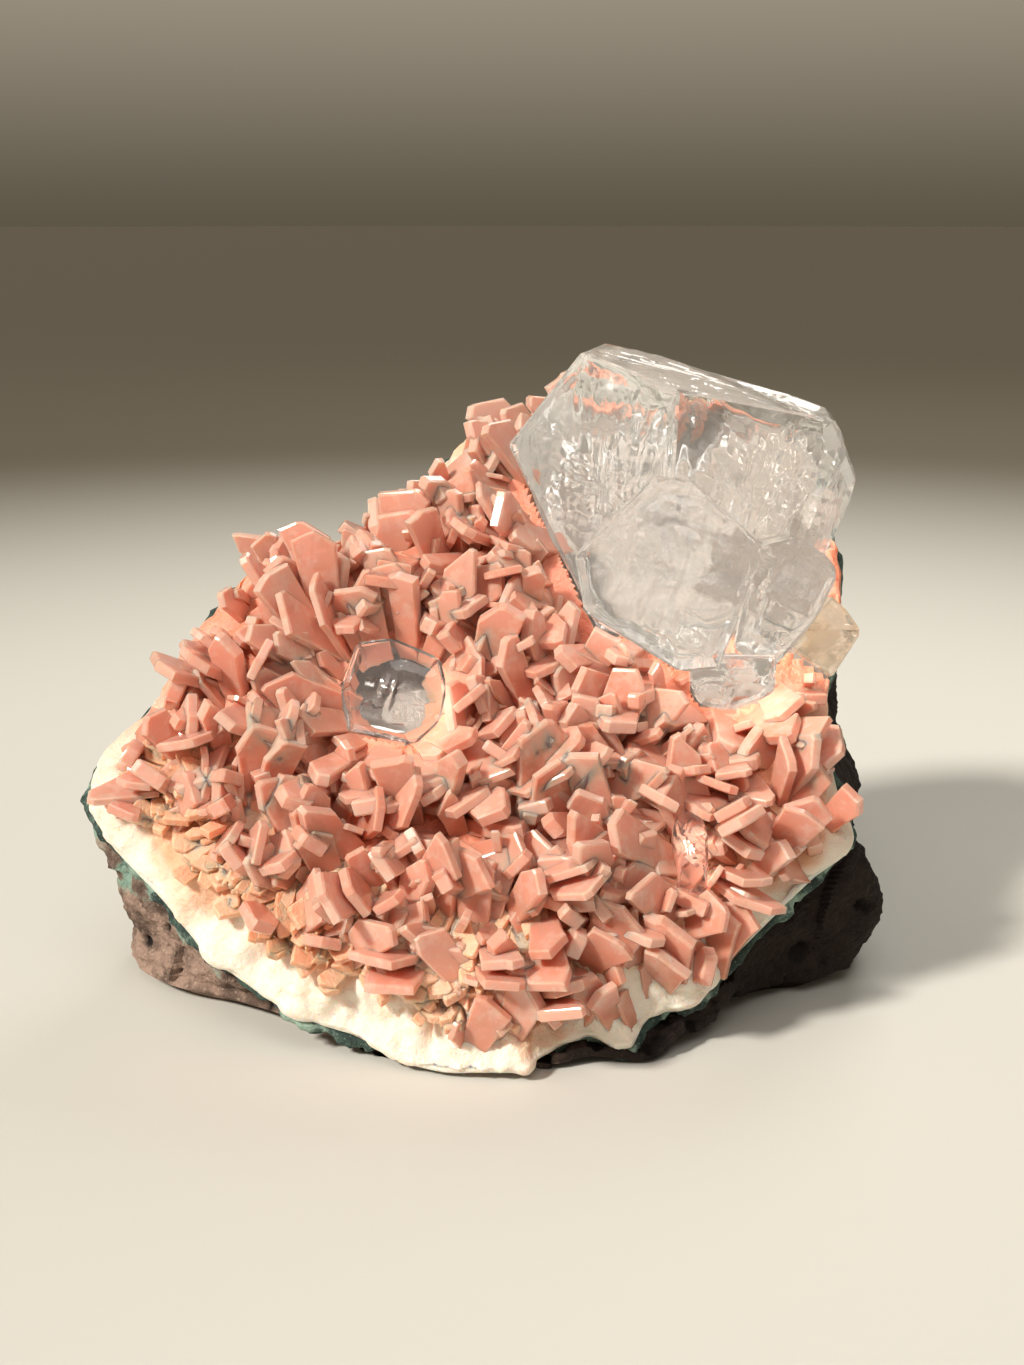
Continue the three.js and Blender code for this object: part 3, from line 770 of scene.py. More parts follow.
def rock_points(rock):
    """Basalt as a grid of turns and rows: dished top, wall down to the ground, chamfer and flat base.

    The wall is a straight line from the bed to the foot, pushed outwards by a sine that is zero at both
    ends. Flat facets, grain and round gas pits then move it along its own normal.
    """
    turn = np.arange(500) / 500
    shape = closed_curve(turn, [4, 5, 6])
    ground = closed_curve(turn, [2, 3]) - PLAN_MIDDLE
    middle = np.array(ROCK_MIDDLE) - PLAN_MIDDLE
    under = 2 * GAP + LINING_THICK
    top_share = np.linspace(0, 1, 8)[:, None] * shape[:, 0]
    u, v, curl = spread(turn, top_share)
    top = on_face(u, v, bed_height(top_share, curl) - under)
    rim = top[-1]
    foot_z = np.minimum(FOOT_HEIGHT, 0.6 * rim[:, 2])
    foot = np.concatenate([ground, foot_z[:, None]], axis=1)
    share = np.linspace(0, 1, 150)[1:, None, None]
    wall = rim + (foot - rim) * share
    outward = wall[..., :2] - middle
    outward = outward / np.linalg.norm(outward, axis=-1, keepdims=True)
    x, y = wall[..., 0] + PLAN_MIDDLE[0], wall[..., 1] + PLAN_MIDDLE[1]
    z = wall[..., 2]
    waves = (np.sin(0.31 * x + 0.17 * y - 0.23 * z + 1.1) + np.sin(-0.19 * x + 0.37 * y + 0.29 * z + 2.7)
             + 0.8 * np.sin(0.47 * x - 0.11 * y + 0.53 * z + 4.2)) / 2
    uneven = ROCK_ROUGH * waves * np.clip((rim[:, 2] - FOOT_HEIGHT) / 12, 0, 1)
    push = np.sin(np.pi * share[..., 0]) * (shape[:, 1] + uneven)
    wall = wall.copy()
    wall[..., :2] += outward * push[..., None]
    base_share = np.linspace(1, 0, 9)[:, None, None]
    base = np.zeros((9, len(turn), 3))
    base[..., :2] = middle + (ground - middle) * base_share * FOOT_SHARE
    points = np.concatenate([top, wall, base])
    normal = grid_normals(points)
    hold = np.zeros(points.shape[:2])
    hold[8:8 + len(wall)] = smooth(0, 0.07, share[..., 0]) * smooth(1.0, 0.93, share[..., 0])
    facet = broken_facets(points, 230, 0.85)
    grain = fractal(points, 5.5, 5, 3) * 2.6 + fractal(points, 1.1, 3, 11)
    pit, depth = gas_pits(points[8:8 + len(wall)], rock)
    move = (facet + grain * rock.grain / MM) * hold
    move[8:8 + len(wall)] -= depth * hold[8:8 + len(wall)]
    points = points + normal * move[..., None]
    points[..., 2] = np.where(np.arange(len(points))[:, None] < 8 + len(wall),
                              np.maximum(points[..., 2], 0.03), 0)
    masks = np.zeros(points.shape[:2] + (4,))
    # Red: weathered rock towards the left; the near-black right beyond it is partly painted shade.
    left = smooth(14, -22, points[..., 0] + 9 * fractal(points, 12, 3, 21))
    masks[..., 0] = 0.04 + 0.96 * left
    # Green: insides of the gas pits, for painted shade.
    masks[8:8 + len(wall), :, 1] = pit
    skin = smooth(0.30, 0.05, share[..., 0] + 0.35 * fractal(points[8:8 + len(wall)], 4.0, 4, 25))
    masks[8:8 + len(wall), :, 2] = skin * left[8:8 + len(wall)]
    masks[..., 3] = 1
    return points, masks


def broken_facets(points, count, height):
    """Flat broken facets: each point takes the tilted plane of the nearest of scattered centres."""
    item = np.arange(count)
    low = np.array(CAD_BOX[0]) / MM
    high = np.array(CAD_BOX[1]) / MM
    centre = low + (high - low) * np.stack([chance(item, 31), chance(item, 32), chance(item, 33)], axis=-1)
    slope = np.stack([chance(item, 34), chance(item, 35), chance(item, 36)], axis=-1) - 0.5
    flat = points.reshape(-1, 3)
    move = np.empty(len(flat))
    for part in np.array_split(np.arange(len(flat)), 12):
        offset = flat[part][:, None, :] - centre
        near = np.argmin((offset ** 2).sum(axis=-1), axis=1)
        move[part] = (offset[np.arange(len(part)), near] * slope[near]).sum(axis=-1)
    return np.clip(move * 0.34, -1, 1).reshape(points.shape[:2]) * height


def gas_pits(wall, rock):
    """Round pits: depth is a ball's cap about scattered points of the wall, and a mask of their insides for
    painted shade.
    """
    rows, columns = wall.shape[:2]
    item = np.arange(rock.pits)
    centre = wall[(chance(item, 41) * rows * 0.94).astype(int), (chance(item, 42) * columns).astype(int)]
    radius = rock.pit_size / MM * (0.2 + 0.8 * chance(item, 43) ** 4)
    depth = np.zeros((rows, columns))
    for one, size in zip(centre, radius):
        square = ((wall - one) ** 2).sum(axis=-1) / size ** 2
        depth = np.maximum(depth, size * np.sqrt(np.clip(1 - square, 0, 1)))
    return smooth(0.05, 0.5, depth), depth


def lining_points():
    """Celadonite as a thin closed sheet under the crust with a rounded, crumbly edge."""
    turn = np.arange(420) / 420
    reach = closed_curve(turn, [4])[:, 0]
    inner = np.array([0, 0.5, 0.8, 0.92, 0.97])
    bend = np.linspace(0, np.pi, 13)
    share = np.concatenate([inner, 1 + 0.006 * np.sin(bend), inner[::-1]])
    sink = np.concatenate([inner * 0, 0.5 - 0.5 * np.cos(bend), inner * 0 + 1])
    share = share[:, None] * reach
    u, v, curl = spread(turn, share)
    height = bed_height(np.minimum(share, 1), curl) - GAP + 0.08 - sink[:, None] * (LINING_THICK + 0.16)
    points = on_face(u, v, height)
    normal = grid_normals(points)
    edge = np.zeros(len(inner) * 2 + len(bend))
    edge[len(inner):-len(inner)] = np.sin(bend) ** 0.6
    crumb = 0.42 + 0.75 * fractal(points, 1.9, 4, 51)
    return points + normal * (crumb * edge[:, None])[..., None]


class SPECIMEN_OT_basalt(Operator):
    """Builds the broken basalt with its facets, grain and gas pits"""

    bl_idname = "specimen.basalt"
    bl_label = "Basalt"

    def execute(self, context):
        rock = context.scene.specimen_rock
        points, masks = rock_points(rock)
        skin, faces = closed_skin(points)
        piece = make_piece("basalt", skin, faces, ["basalt_matrix"], math.radians(50))
        inner = masks[1:-1].reshape(-1, 4)
        store_masks(piece.data, "rock_masks", np.concatenate([inner, masks[0, :1], masks[-1, :1]]))
        piece.data.materials.append(basalt_material(rock))
        return {"FINISHED"}


class SPECIMEN_OT_celadonite(Operator):
    """Builds the thin green lining between the crust and the basalt"""

    bl_idname = "specimen.celadonite"
    bl_label = "Celadonite lining"

    def execute(self, context):
        skin, faces = closed_skin(lining_points())
        piece = make_piece("celadonite", skin, faces, ["celadonite_lining"], math.radians(60))
        piece.data.materials.append(celadonite_material(context.scene.specimen_rock))
        return {"FINISHED"}


# Stilbite

def crust_points():
    """Crust as a closed grid: crowned top, rounded edge, dished underside.

    Lumps and fibres that run towards the edge move it along its own normal.
    """
    columns = 420
    turn = np.arange(columns) / columns
    inner = np.linspace(0, 1, 120)[:-1] ** 0.75
    bend = np.linspace(0, np.pi, 15)
    under = np.array([0.97, 0.9, 0.75, 0.5, 0])
    share = np.concatenate([inner, 1 + 0.012 * np.sin(bend), under])[:, None] + 0 * turn
    sink = np.concatenate([inner * 0, 0.5 - 0.5 * np.cos(bend), under * 0 + 1])[:, None]
    u, v, curl = spread(turn, share)
    inside = np.minimum(share, 1)
    top = crust_height(u, v, inside, curl)
    bed = bed_height(inside, curl)
    points = on_face(u, v, top + (bed - top) * sink)
    normal = grid_normals(points)
    shown = 1 - smooth(0.55, 0.95, sink)
    bare = smooth(0.70, 0.92, share)
    lump = 0.6 * fractal(points, 4.5, 4, 61) + (0.25 + 0.2 * bare) * np.abs(fractal(points, 3.0, 4, 67))
    crease = np.abs(fractal(points, 2.8, 4, 69))
    lump = lump + bare * (0.12 - 0.35 * crease)
    around = np.stack([turn * 130 + 0 * share, share * 6, 0 * share], axis=-1)
    fibre = fractal(around, 1.0, 4, 71) * smooth(0.60, 0.85, share) * smooth(1.02, 0.9, share)
    points = points + normal * ((lump - 0.3 * bare + 0.45 * fibre) * shown)[..., None]
    free = points
    points = sink_under_crystals(points)
    # Points moved under a crystal are marked for painted shade.
    shaded_under_crystals = np.linalg.norm(points - free, axis=-1) > 0
    masks = np.zeros(points.shape[:2] + (4,))
    lower = smooth(42, 20, v + 3 * fractal(points, 9, 3, 73))
    left = smooth(20, 4, u)
    rim = share + 0.07 * fractal(points, 6, 3, 79) + 0.05 * fibre
    # Close to a crystal the pale and peach tones are left out, so the crust stays salmon: painted shade.
    near = inside_any(points, CLUSTER + (SIDE, SMALL), 1.8)
    pale = smooth(0.80, 0.93, rim) * ~near
    masks[..., 0] = pale * (0.25 + 0.75 * np.maximum(lower * left, smooth(50, 66, v)))
    stain = smooth(0.3, 0.8, fractal(points, 5.0, 4, 83)) * smooth(0.70, 0.82, share)
    masks[..., 1] = 0.75 * stain * smooth(0.99, 0.90, share)
    masks[..., 2] = smooth(0.62, 0.80, rim) * lower * ~near
    masks[..., 3] = 1
    # Second layer: red is painted shade under the crystals, green the whiter rim.
    shade_and_rim = np.ones_like(masks)
    shade_and_rim[..., 0] = shaded_under_crystals
    shade_and_rim[..., 1] = smooth(0.90, 0.985, rim) * lower
    return points, masks, shade_and_rim


def sink_under_crystals(points):
    """Points inside a crystal are lowered square to the slope until they lie just under its back."""
    out = np.array([0, -math.sin(FACE_TILT), math.cos(FACE_TILT)])
    for crystal in CLUSTER + (SIDE, SMALL, BEAD):
        middle, normal, distance = crystal_planes(crystal, GAP)
        offset = points - middle
        inside = (offset @ normal.T <= distance).all(axis=-1)
        back = distance[np.argmin(normal @ out)]
        points = points - np.where(inside, offset @ out + back, 0)[..., None] * out
    return points


def blade_set(start, count, length, width, thick, lean, layers):
    """Places, sizes and turns of one set of blades, kept clear of the clear crystals.

    Places follow an even two-number sequence over the slope. A blade that would run into a crystal
    leans away from it instead, and is shortened or left out where that isn't enough.
    """
    item = np.arange(start, start + count)
    u = between(*BLADE_FIELD[0], (item * 0.7548776662) % 1)
    v = between(*BLADE_FIELD[1], (item * 0.569840291) % 1)
    share, curl, limit = place_of(u, v)
    keep = share <= limit
    item, u, v, share, curl = (values[keep] for values in (item, u, v, share, curl))
    roll = np.radians(BLADE_ROLL) * (2 * chance(item, 6) - 1)
    tip = np.radians(between(*lean, chance(item, 4))) * (1 - BLADE_EDGE_STAND * share ** 4)
    heading = 2 * np.pi * chance(item, 5)
    data = {
        "item": item,
        "root": on_face(u, v, crust_height(u, v, share, curl)),
        "length": between(*length, chance(item, 1)) * (1 - BLADE_EDGE_SHRINK * share ** 4),
        "width": between(*width, chance(item, 2)) / 2,
        "thick": between(*thick, chance(item, 3)) / 2,
        "turn": blade_turn(roll, tip, heading),
        # Blades high on the slope, towards its edge, turn pale: painted highlight.
        "pale": 0.7 * smooth(26, 60, v) * smooth(0.55, 0.9, share),
    }
    blocked = free_share(data) < 0.8
    roll = np.where(blocked, 0.3 * roll, roll)
    tip = np.where(blocked, np.radians(AWAY_LEAN), tip)
    heading = np.where(blocked, away_heading(u, v), heading)
    data["turn"] = blade_turn(roll, tip, heading)
    data["length"] = data["length"] * free_share(data)
    keep = data["length"] > 1.1
    return {key: values[keep] for key, values in data.items()} | {"layers": layers}


def free_share(data):
    """Share of each blade's length, in eighths, that stays clear of the clear crystals."""
    along = np.linspace(0, 1, 9)[1:]
    side = 1.15 * np.array([[-1, -1], [-1, 1], [0, 0], [1, -1], [1, 1]])
    local = np.stack(np.broadcast_arrays(
        side[:, 0] * data["width"][:, None, None],
        side[:, 1] * data["thick"][:, None, None],
        data["length"][:, None, None] * along[:, None]), axis=-1)
    tests = data["root"][:, None, None] + np.einsum("nij,nasj->nasi", data["turn"], local)
    hit = inside_any(tests, CLUSTER + (SIDE, SMALL, BEAD_HEAD), 0.12).any(axis=2)
    return np.where(hit.any(axis=1), hit.argmax(axis=1), 8) / 8


def away_heading(u, v):
    """Heading on the slope from the nearest crystal's middle, measured in its own widths."""
    across, up, width = [], [], []
    for middle, faces in CLUSTER + (SIDE, SMALL, BEAD_HEAD):
        across.append(middle[0])
        up.append((middle[1] - FACE_FOOT[1]) * math.cos(FACE_TILT)
                  + (middle[2] - FACE_FOOT[2]) * math.sin(FACE_TILT))
        width.append(np.mean([face[2] for face in faces]))
    du, dv = u[:, None] - across, v[:, None] - up
    near = np.argmin(np.hypot(du, dv) / width, axis=1)
    row = np.arange(len(u))
    return np.arctan2(du[row, near], -dv[row, near])


def blade_turn(roll, lean, heading):
    """Turning matrices: roll about the blade, lean over, head round the slope, tilt with the slope."""
    tilt = np.full(len(lean), FACE_TILT)
    return about_x(tilt) @ about_z(heading) @ about_x(lean) @ about_z(roll)


def fringe_set(count):
    """Flat peach blades that lie along the crust towards its bare lower edge."""
    item = np.arange(5001, 5001 + count)
    turn = between(0.735, 1.075, chance(item, 11))
    share = between(0.64, 0.88, chance(item, 12))
    u, v, curl = spread(turn, share)
    heading = np.arctan2(u - FACE_CORE[0], FACE_CORE[1] - v) + 1.3 * (chance(item, 5) - 0.5)
    lean = np.radians(between(62, 88, chance(item, 4)))
    return {
        "item": item,
        "root": on_face(u, v, crust_height(u, v, share, curl) + 0.1),
        "length": between(2.5, 6.0, chance(item, 1)) * (1 - 0.5 * smooth(0.7, 0.9, share)),
        "width": between(0.8, 2.8, chance(item, 2)) / 2,
        "thick": between(0.5, 1.1, chance(item, 3)) / 2,
        "turn": blade_turn(0.8 * (chance(item, 6) - 0.5), lean, heading),
        "pale": 0.55 + 0.45 * chance(item, 13),
        "layers": 1,
    }


def about_x(angle):
    """Turning matrices about X."""
    c, s, o, z = np.cos(angle), np.sin(angle), np.ones_like(angle), np.zeros_like(angle)
    return np.stack([o, z, z, z, c, -s, z, s, c], axis=-1).reshape(-1, 3, 3)


def about_z(angle):
    """Turning matrices about Z."""
    c, s, o, z = np.cos(angle), np.sin(angle), np.ones_like(angle), np.zeros_like(angle)
    return np.stack([c, -s, z, s, c, z, z, z, o], axis=-1).reshape(-1, 3, 3)


def blade_mesh(data):
    """Flat blades: a coffin-shaped outline carried through the thickness, narrower on both faces.

    The outline runs from the root up straight sides to two shoulders of different heights and a short
    slanted end. A blade is one or two plates, side by side and a little fanned.
    """
    item, layers = data["item"], data["layers"]
    plate = np.arange(layers)

    def draw(number):
        return np.stack([chance(item, number + k) for k in plate], axis=1)

    apart = float(layers > 1)
    length = data["length"][:, None] * (1 - 0.35 * apart * draw(50) * (plate > 0))
    width = data["width"][:, None] * (1 - 0.30 * apart * draw(55) * (plate > 0))
    half = data["thick"][:, None] / layers * np.ones(layers)
    offset = data["thick"][:, None] * ((2 * plate + 1) / layers - 1)
    shift = width * 0.5 * apart * (draw(60) - 0.5)
    fan = np.tan(np.radians(26) * apart * (draw(70) - 0.5))
    splay = np.tan(np.radians(13) * apart * draw(75)) * np.sign(offset)
    right = 1 - between(*BLADE_SHOULDER, draw(90))
    left = 1 - between(*BLADE_SHOULDER, draw(100))
    apex = (draw(110) - 0.5) * 1.2
    one = np.ones_like(apex)
    outline_x = np.stack([
        -BLADE_FOOT * one, BLADE_FOOT * one, 0.86 * one, one, apex + BLADE_END, apex - BLADE_END, -one,
        -0.86 * one], axis=-1)
    outline_z = np.stack([
        0 * one, 0 * one, BLADE_WAIST * one, right, 1 - 0.07 * draw(120), 1 - 0.07 * draw(130), left,
        BLADE_WAIST * one], axis=-1)
    root = np.array([1, 1, 0, 0, 0, 0, 0, 0])
    through = np.array([-1, -0.72, 0.72, 1])[:, None]
    inset = np.array([1, 0, 0, 1])[:, None]
    z = outline_z[:, :, None] * length[..., None, None] - BLADE_ROOT * root
    z = z - 0.09 * inset * width[..., None, None] * (outline_z[:, :, None] > 0.5)
    x = outline_x[:, :, None] * width[..., None, None] * (1 - 0.09 * inset)
    x = x + shift[..., None, None] + fan[..., None, None] * z
    y = through * half[..., None, None] + offset[..., None, None] + splay[..., None, None] * z
    local = np.stack(np.broadcast_arrays(x, y, z), axis=-1)
    world = np.einsum("nij,nkrsj->nkrsi", data["turn"], local) + data["root"][:, None, None, None]
    front = np.array([[0, 1, 2, 7], [7, 2, 3, 6], [6, 3, 4, 5]])
    quads = np.concatenate([front, grid_faces(4, 8), front[:, ::-1] + 24])
    start = 32 * np.arange(len(item) * layers)[:, None, None]
    faces = (quads[None] + start).reshape(-1, 4).tolist()
    tone = (0.6 * chance(item, 81)[:, None] + 0.4 * draw(85))[..., None, None]
    # Green: height up the blade, for painted shade at its root.
    rise = np.clip(z / 7.0, 0, 1)
    frost = np.maximum(0.55 * (1 - inset), 0.5 * smooth(0.7, 1.0, outline_z[:, :, None]))
    frost = frost * (0.25 + 0.75 * draw(140))[..., None, None]
    # Blue also takes the set's pale mark: painted highlight for blades high up, a cream tone on the fringe.
    frost = np.maximum(frost, data["pale"][:, None, None, None])
    masks = np.stack(np.broadcast_arrays(tone, rise, frost, np.ones_like(z)), axis=-1).reshape(-1, 4)
    across = x + (item * 7.3 % 97)[:, None, None, None] + 3 * plate[None, :, None, None]
    uv = np.stack(np.broadcast_arrays(across, z), axis=-1).reshape(-1, 2)
    return world.reshape(-1, 3), faces, masks, uv


class SPECIMEN_OT_crust(Operator):
    """Builds the fibrous pale crust under the blades"""

    bl_idname = "specimen.crust"
    bl_label = "Stilbite crust"

    def execute(self, context):
        stilbite = context.scene.specimen_stilbite
        points, masks, shade_and_rim = crust_points()
        skin, faces = closed_skin(points)
        piece = make_piece("stilbite_crust", skin, faces, ["stilbite_druse"], math.radians(60))
        for layer, values in (("crust_masks", masks), ("crust_cover", shade_and_rim)):
            inner = values[1:-1].reshape(-1, 4)
            store_masks(piece.data, layer, np.concatenate([inner, values[0, :1], values[-1, :1]]))
        material = crust_material(stilbite)
        piece.data.materials.append(material)
        points, faces, masks, _ = blade_mesh(fringe_set(stilbite.fringe))
        fringe = make_piece("stilbite_fringe", points, faces, ["stilbite_druse"])
        stain = smooth(0.2, 0.8, fractal(points, 5.0, 4, 83))
        store_masks(fringe.data, "crust_masks", np.stack([
            0.5 * masks[:, 2], 0.4 * stain, 0.4 + 0.6 * masks[:, 0], masks[:, 3]], axis=-1))
        fringe.data.materials.append(material)
        return {"FINISHED"}


class SPECIMEN_OT_blades(Operator):
    """Grows large, medium and fine stilbite blades over the crust"""

    bl_idname = "specimen.blades"
    bl_label = "Stilbite blades"

    def execute(self, context):
        stilbite = context.scene.specimen_stilbite
        material = stilbite_material(stilbite)
        start = 1
        for size, ranges in BLADE_SIZES.items():
            count = getattr(stilbite, size)
            points, faces, masks, uv = blade_mesh(blade_set(start, count, *ranges))
            start += count
            piece = make_piece(f"stilbite_blades_{size}", points, faces, ["stilbite_druse"])
            store_masks(piece.data, "blade_masks", masks)
            store_uv(piece.data, "along", uv)
            piece.data.materials.append(material)
        return {"FINISHED"}


# Apophyllite

def crystal_planes(crystal, grow=0.0):
    """Middle, outward directions and distances of a crystal's faces."""
    middle, faces = crystal
    table = np.array(faces, dtype=float)
    azimuth, elevation = np.radians(table[:, 0]), np.radians(table[:, 1])
    normal = np.stack([
        np.sin(azimuth) * np.cos(elevation), -np.cos(azimuth) * np.cos(elevation), np.sin(elevation)],
        axis=-1)
    place = np.array(middle, dtype=float) - (PLAN_MIDDLE[0], PLAN_MIDDLE[1], 0)
    return place, normal, table[:, 2] + grow


def inside_any(points, crystals, margin):
    """True where a point lies inside any crystal whose faces are moved out by the margin."""
    hit = np.zeros(points.shape[:-1], dtype=bool)
    for crystal in crystals:
        middle, normal, distance = crystal_planes(crystal, margin)
        hit |= ((points - middle) @ normal.T <= distance).all(axis=-1)
    return hit


def plane_corners(normal, distance):
    """Corners where three planes meet inside all the others, and which planes pass through each."""
    triples = np.array(list(combinations(range(len(normal)), 3)))
    matrix = normal[triples]
    good = np.abs(np.linalg.det(matrix)) > 1e-4
    triples, matrix = triples[good], matrix[good]
    corner = np.linalg.solve(matrix, distance[triples][..., None])[..., 0]
    inside = (corner @ normal.T <= distance + 1e-4).all(axis=1)
    corner = np.unique(corner[inside].round(4), axis=0)
    return corner, np.abs(corner @ normal.T - distance) < 2e-3


def worn_planes(normal, distance, bevel):
    """Faces of a crystal and a narrow worn face along each edge between two of them."""
    corner, touch = plane_corners(normal, distance)
    extra_normal, extra_distance = [], []
    for i, j in combinations(range(len(normal)), 2):
        shared = corner[touch[:, i] & touch[:, j]]
        if len(shared) >= 2:
            between_faces = normal[i] + normal[j]
            between_faces = between_faces / np.linalg.norm(between_faces)
            extra_normal.append(between_faces)
            extra_distance.append(shared[0] @ between_faces - bevel)
    return np.vstack([normal, extra_normal]), np.concatenate([distance, extra_distance])


def closed_faces(corner):
    """Corners, corner loops and outward directions of the closed skin round a crystal's corners."""
    hull = bmesh.new()
    for place in corner:
        hull.verts.new(place)
    bmesh.ops.remove_doubles(hull, verts=hull.verts, dist=0.02)
    bmesh.ops.convex_hull(hull, input=hull.verts)
    bmesh.ops.dissolve_limit(hull, angle_limit=math.radians(0.6), verts=hull.verts, edges=hull.edges)
    hull.verts.index_update()
    hull.normal_update()
    points = np.array([vertex.co for vertex in hull.verts])
    loops = [[vertex.index for vertex in face.verts] for face in hull.faces]
    normals = np.array([face.normal for face in hull.faces])
    hull.free()
    return points, loops, normals


def face_outline(points, loop, spacing):
    """Evenly spaced points round a face, the same along an edge from either side of it."""
    parts = []
    for a, b in zip(loop, loop[1:] + loop[:1]):
        low, high = min(a, b), max(a, b)
        count = max(1, int(round(np.linalg.norm(points[high] - points[low]) / spacing)))
        step = np.arange(count) if a == low else count - np.arange(count)
        parts.append(points[low] + (points[high] - points[low]) * (step / count)[:, None])
    return np.concatenate(parts)


def face_grid(outline, normal, spacing, relief, seed):
    """One face as rings from its middle to its outline, with growth steps that fade at the edge."""
    middle = outline.mean(axis=0)
    first = np.cross(normal, (0.31, 0.17, 0.93))
    first = first / np.linalg.norm(first)
    second = np.cross(normal, first)
    reach = np.linalg.norm(outline - middle, axis=1).mean()
    rings = max(1, int(round(reach / spacing))) if relief else 1
    share = np.arange(0, rings + 1) / rings
    points = middle + (outline - middle) * share[:, None, None]
    offset = points - middle
    if relief:
        height = growth_steps(offset @ first, offset @ second, reach, seed) * relief
        points = points + normal * (height * smooth(1.0, 0.86, share)[:, None])[..., None]
    columns = len(outline)
    column = np.arange(columns)
    quads = grid_faces(rings, columns)
    fan = np.stack([np.full(columns, rings * columns), column, (column + 1) % columns], axis=-1)
    return np.concatenate([points[1:].reshape(-1, 3), points[0, :1]]), quads, fan


def growth_steps(a, b, reach, seed):
    """Square terraces round off-centre points, rounded from the larger distance, and upright ripples."""
    total = np.zeros(a.shape)
    bend = 0.5 * fractal(np.stack([a, b, 0 * a + seed], axis=-1), 2.5, 3, 91)
    turn = 0.5 * (chance(seed, 220) - 0.5)
    for hill in range(3):
        x = a - (chance(seed, 200 + hill) - 0.5) * 1.5 * reach
        y = b - (chance(seed, 210 + hill) - 0.5) * 1.5 * reach
        x, y = x * math.cos(turn) - y * math.sin(turn), x * math.sin(turn) + y * math.cos(turn)
        level = (np.maximum(np.abs(x), np.abs(y)) + bend) / (1.1 + 1.6 * chance(seed, 230 + hill))
        whole = np.floor(level)
        total = total - (whole + smooth(0.7, 1.0, level - whole)) / (1 + hill)
    patch = smooth(-0.1, 0.5, fractal(np.stack([a, b, 0 * a + seed], axis=-1), 6.0, 2, 95))
    ripple = 1.5 * patch * fractal(np.stack([a / 0.8, b / 3.2, 0 * a + seed], axis=-1), 1.0, 3, 97)
    return total - total.mean() + ripple


def crystal_mesh(crystal, settings, seed, grow=0.0, relief=True):
    """Closed crystal skin: every face and worn edge as its own grid, joined along shared outlines."""
    middle, own, distance = crystal_planes(crystal, grow)
    normal, distance = worn_planes(own, distance, settings.bevel / MM)
    corner, loops, directions = closed_faces(plane_corners(normal, distance)[0])
    points, faces = [], []
    total = 0
    for index, (loop, direction) in enumerate(zip(loops, directions)):
        main_face = (own @ direction).max() > 0.9998
        height = settings.steps / MM if relief and main_face else 0.0
        outline = face_outline(corner, loop, settings.spacing / MM)
        part, quads, fan = face_grid(outline, direction, settings.spacing / MM, height, seed * 40 + index)
        points.append(part)
        faces.extend((quads + total).tolist())
        faces.extend((fan + total).tolist())
        total += len(part)
    merged, index = np.unique(np.concatenate(points).round(5), axis=0, return_inverse=True)
    index = index.ravel().tolist()
    return merged + middle, [[index[i] for i in face] for face in faces]


def crystal_object(name, crystal, settings, seed, grow=0.0):
    """Crystal as a loose object, for joining and cutting."""
    points, faces = crystal_mesh(crystal, settings, seed, grow, grow == 0)
    mesh = bpy.data.meshes.new(name)
    mesh.from_pydata((points * MM).tolist(), [], faces)
    mesh.validate()
    made = bpy.data.objects.new(name, mesh)
    bpy.context.scene.collection.objects.link(made)
    return made


def combine(base, others, operation):
    """Joins other closed objects to a base, or cuts them from it, and removes them."""
    for other in others:
        step = base.modifiers.new("combine", "BOOLEAN")
        step.operation = operation
        step.solver = "MANIFOLD"
        step.object = other
    ready = base.evaluated_get(bpy.context.evaluated_depsgraph_get())
    mesh = bpy.data.meshes.new_from_object(ready)
    if not mesh.polygons:
        raise RuntimeError(f"{base.name} came out empty")
    base.modifiers.clear()
    base.data = mesh
    mesh.name = base.name
    for other in others:
        bpy.data.objects.remove(other)


def finish_crystal(piece, replaced, material):
    """Sharp edges, its material and its place in the part."""
    piece.data.shade_smooth()
    piece.data.set_sharp_from_angle(angle=math.radians(14))
    piece.data.materials.clear()
    piece.data.materials.append(material)
    piece.visible_shadow = False
    claim(piece, replaced)


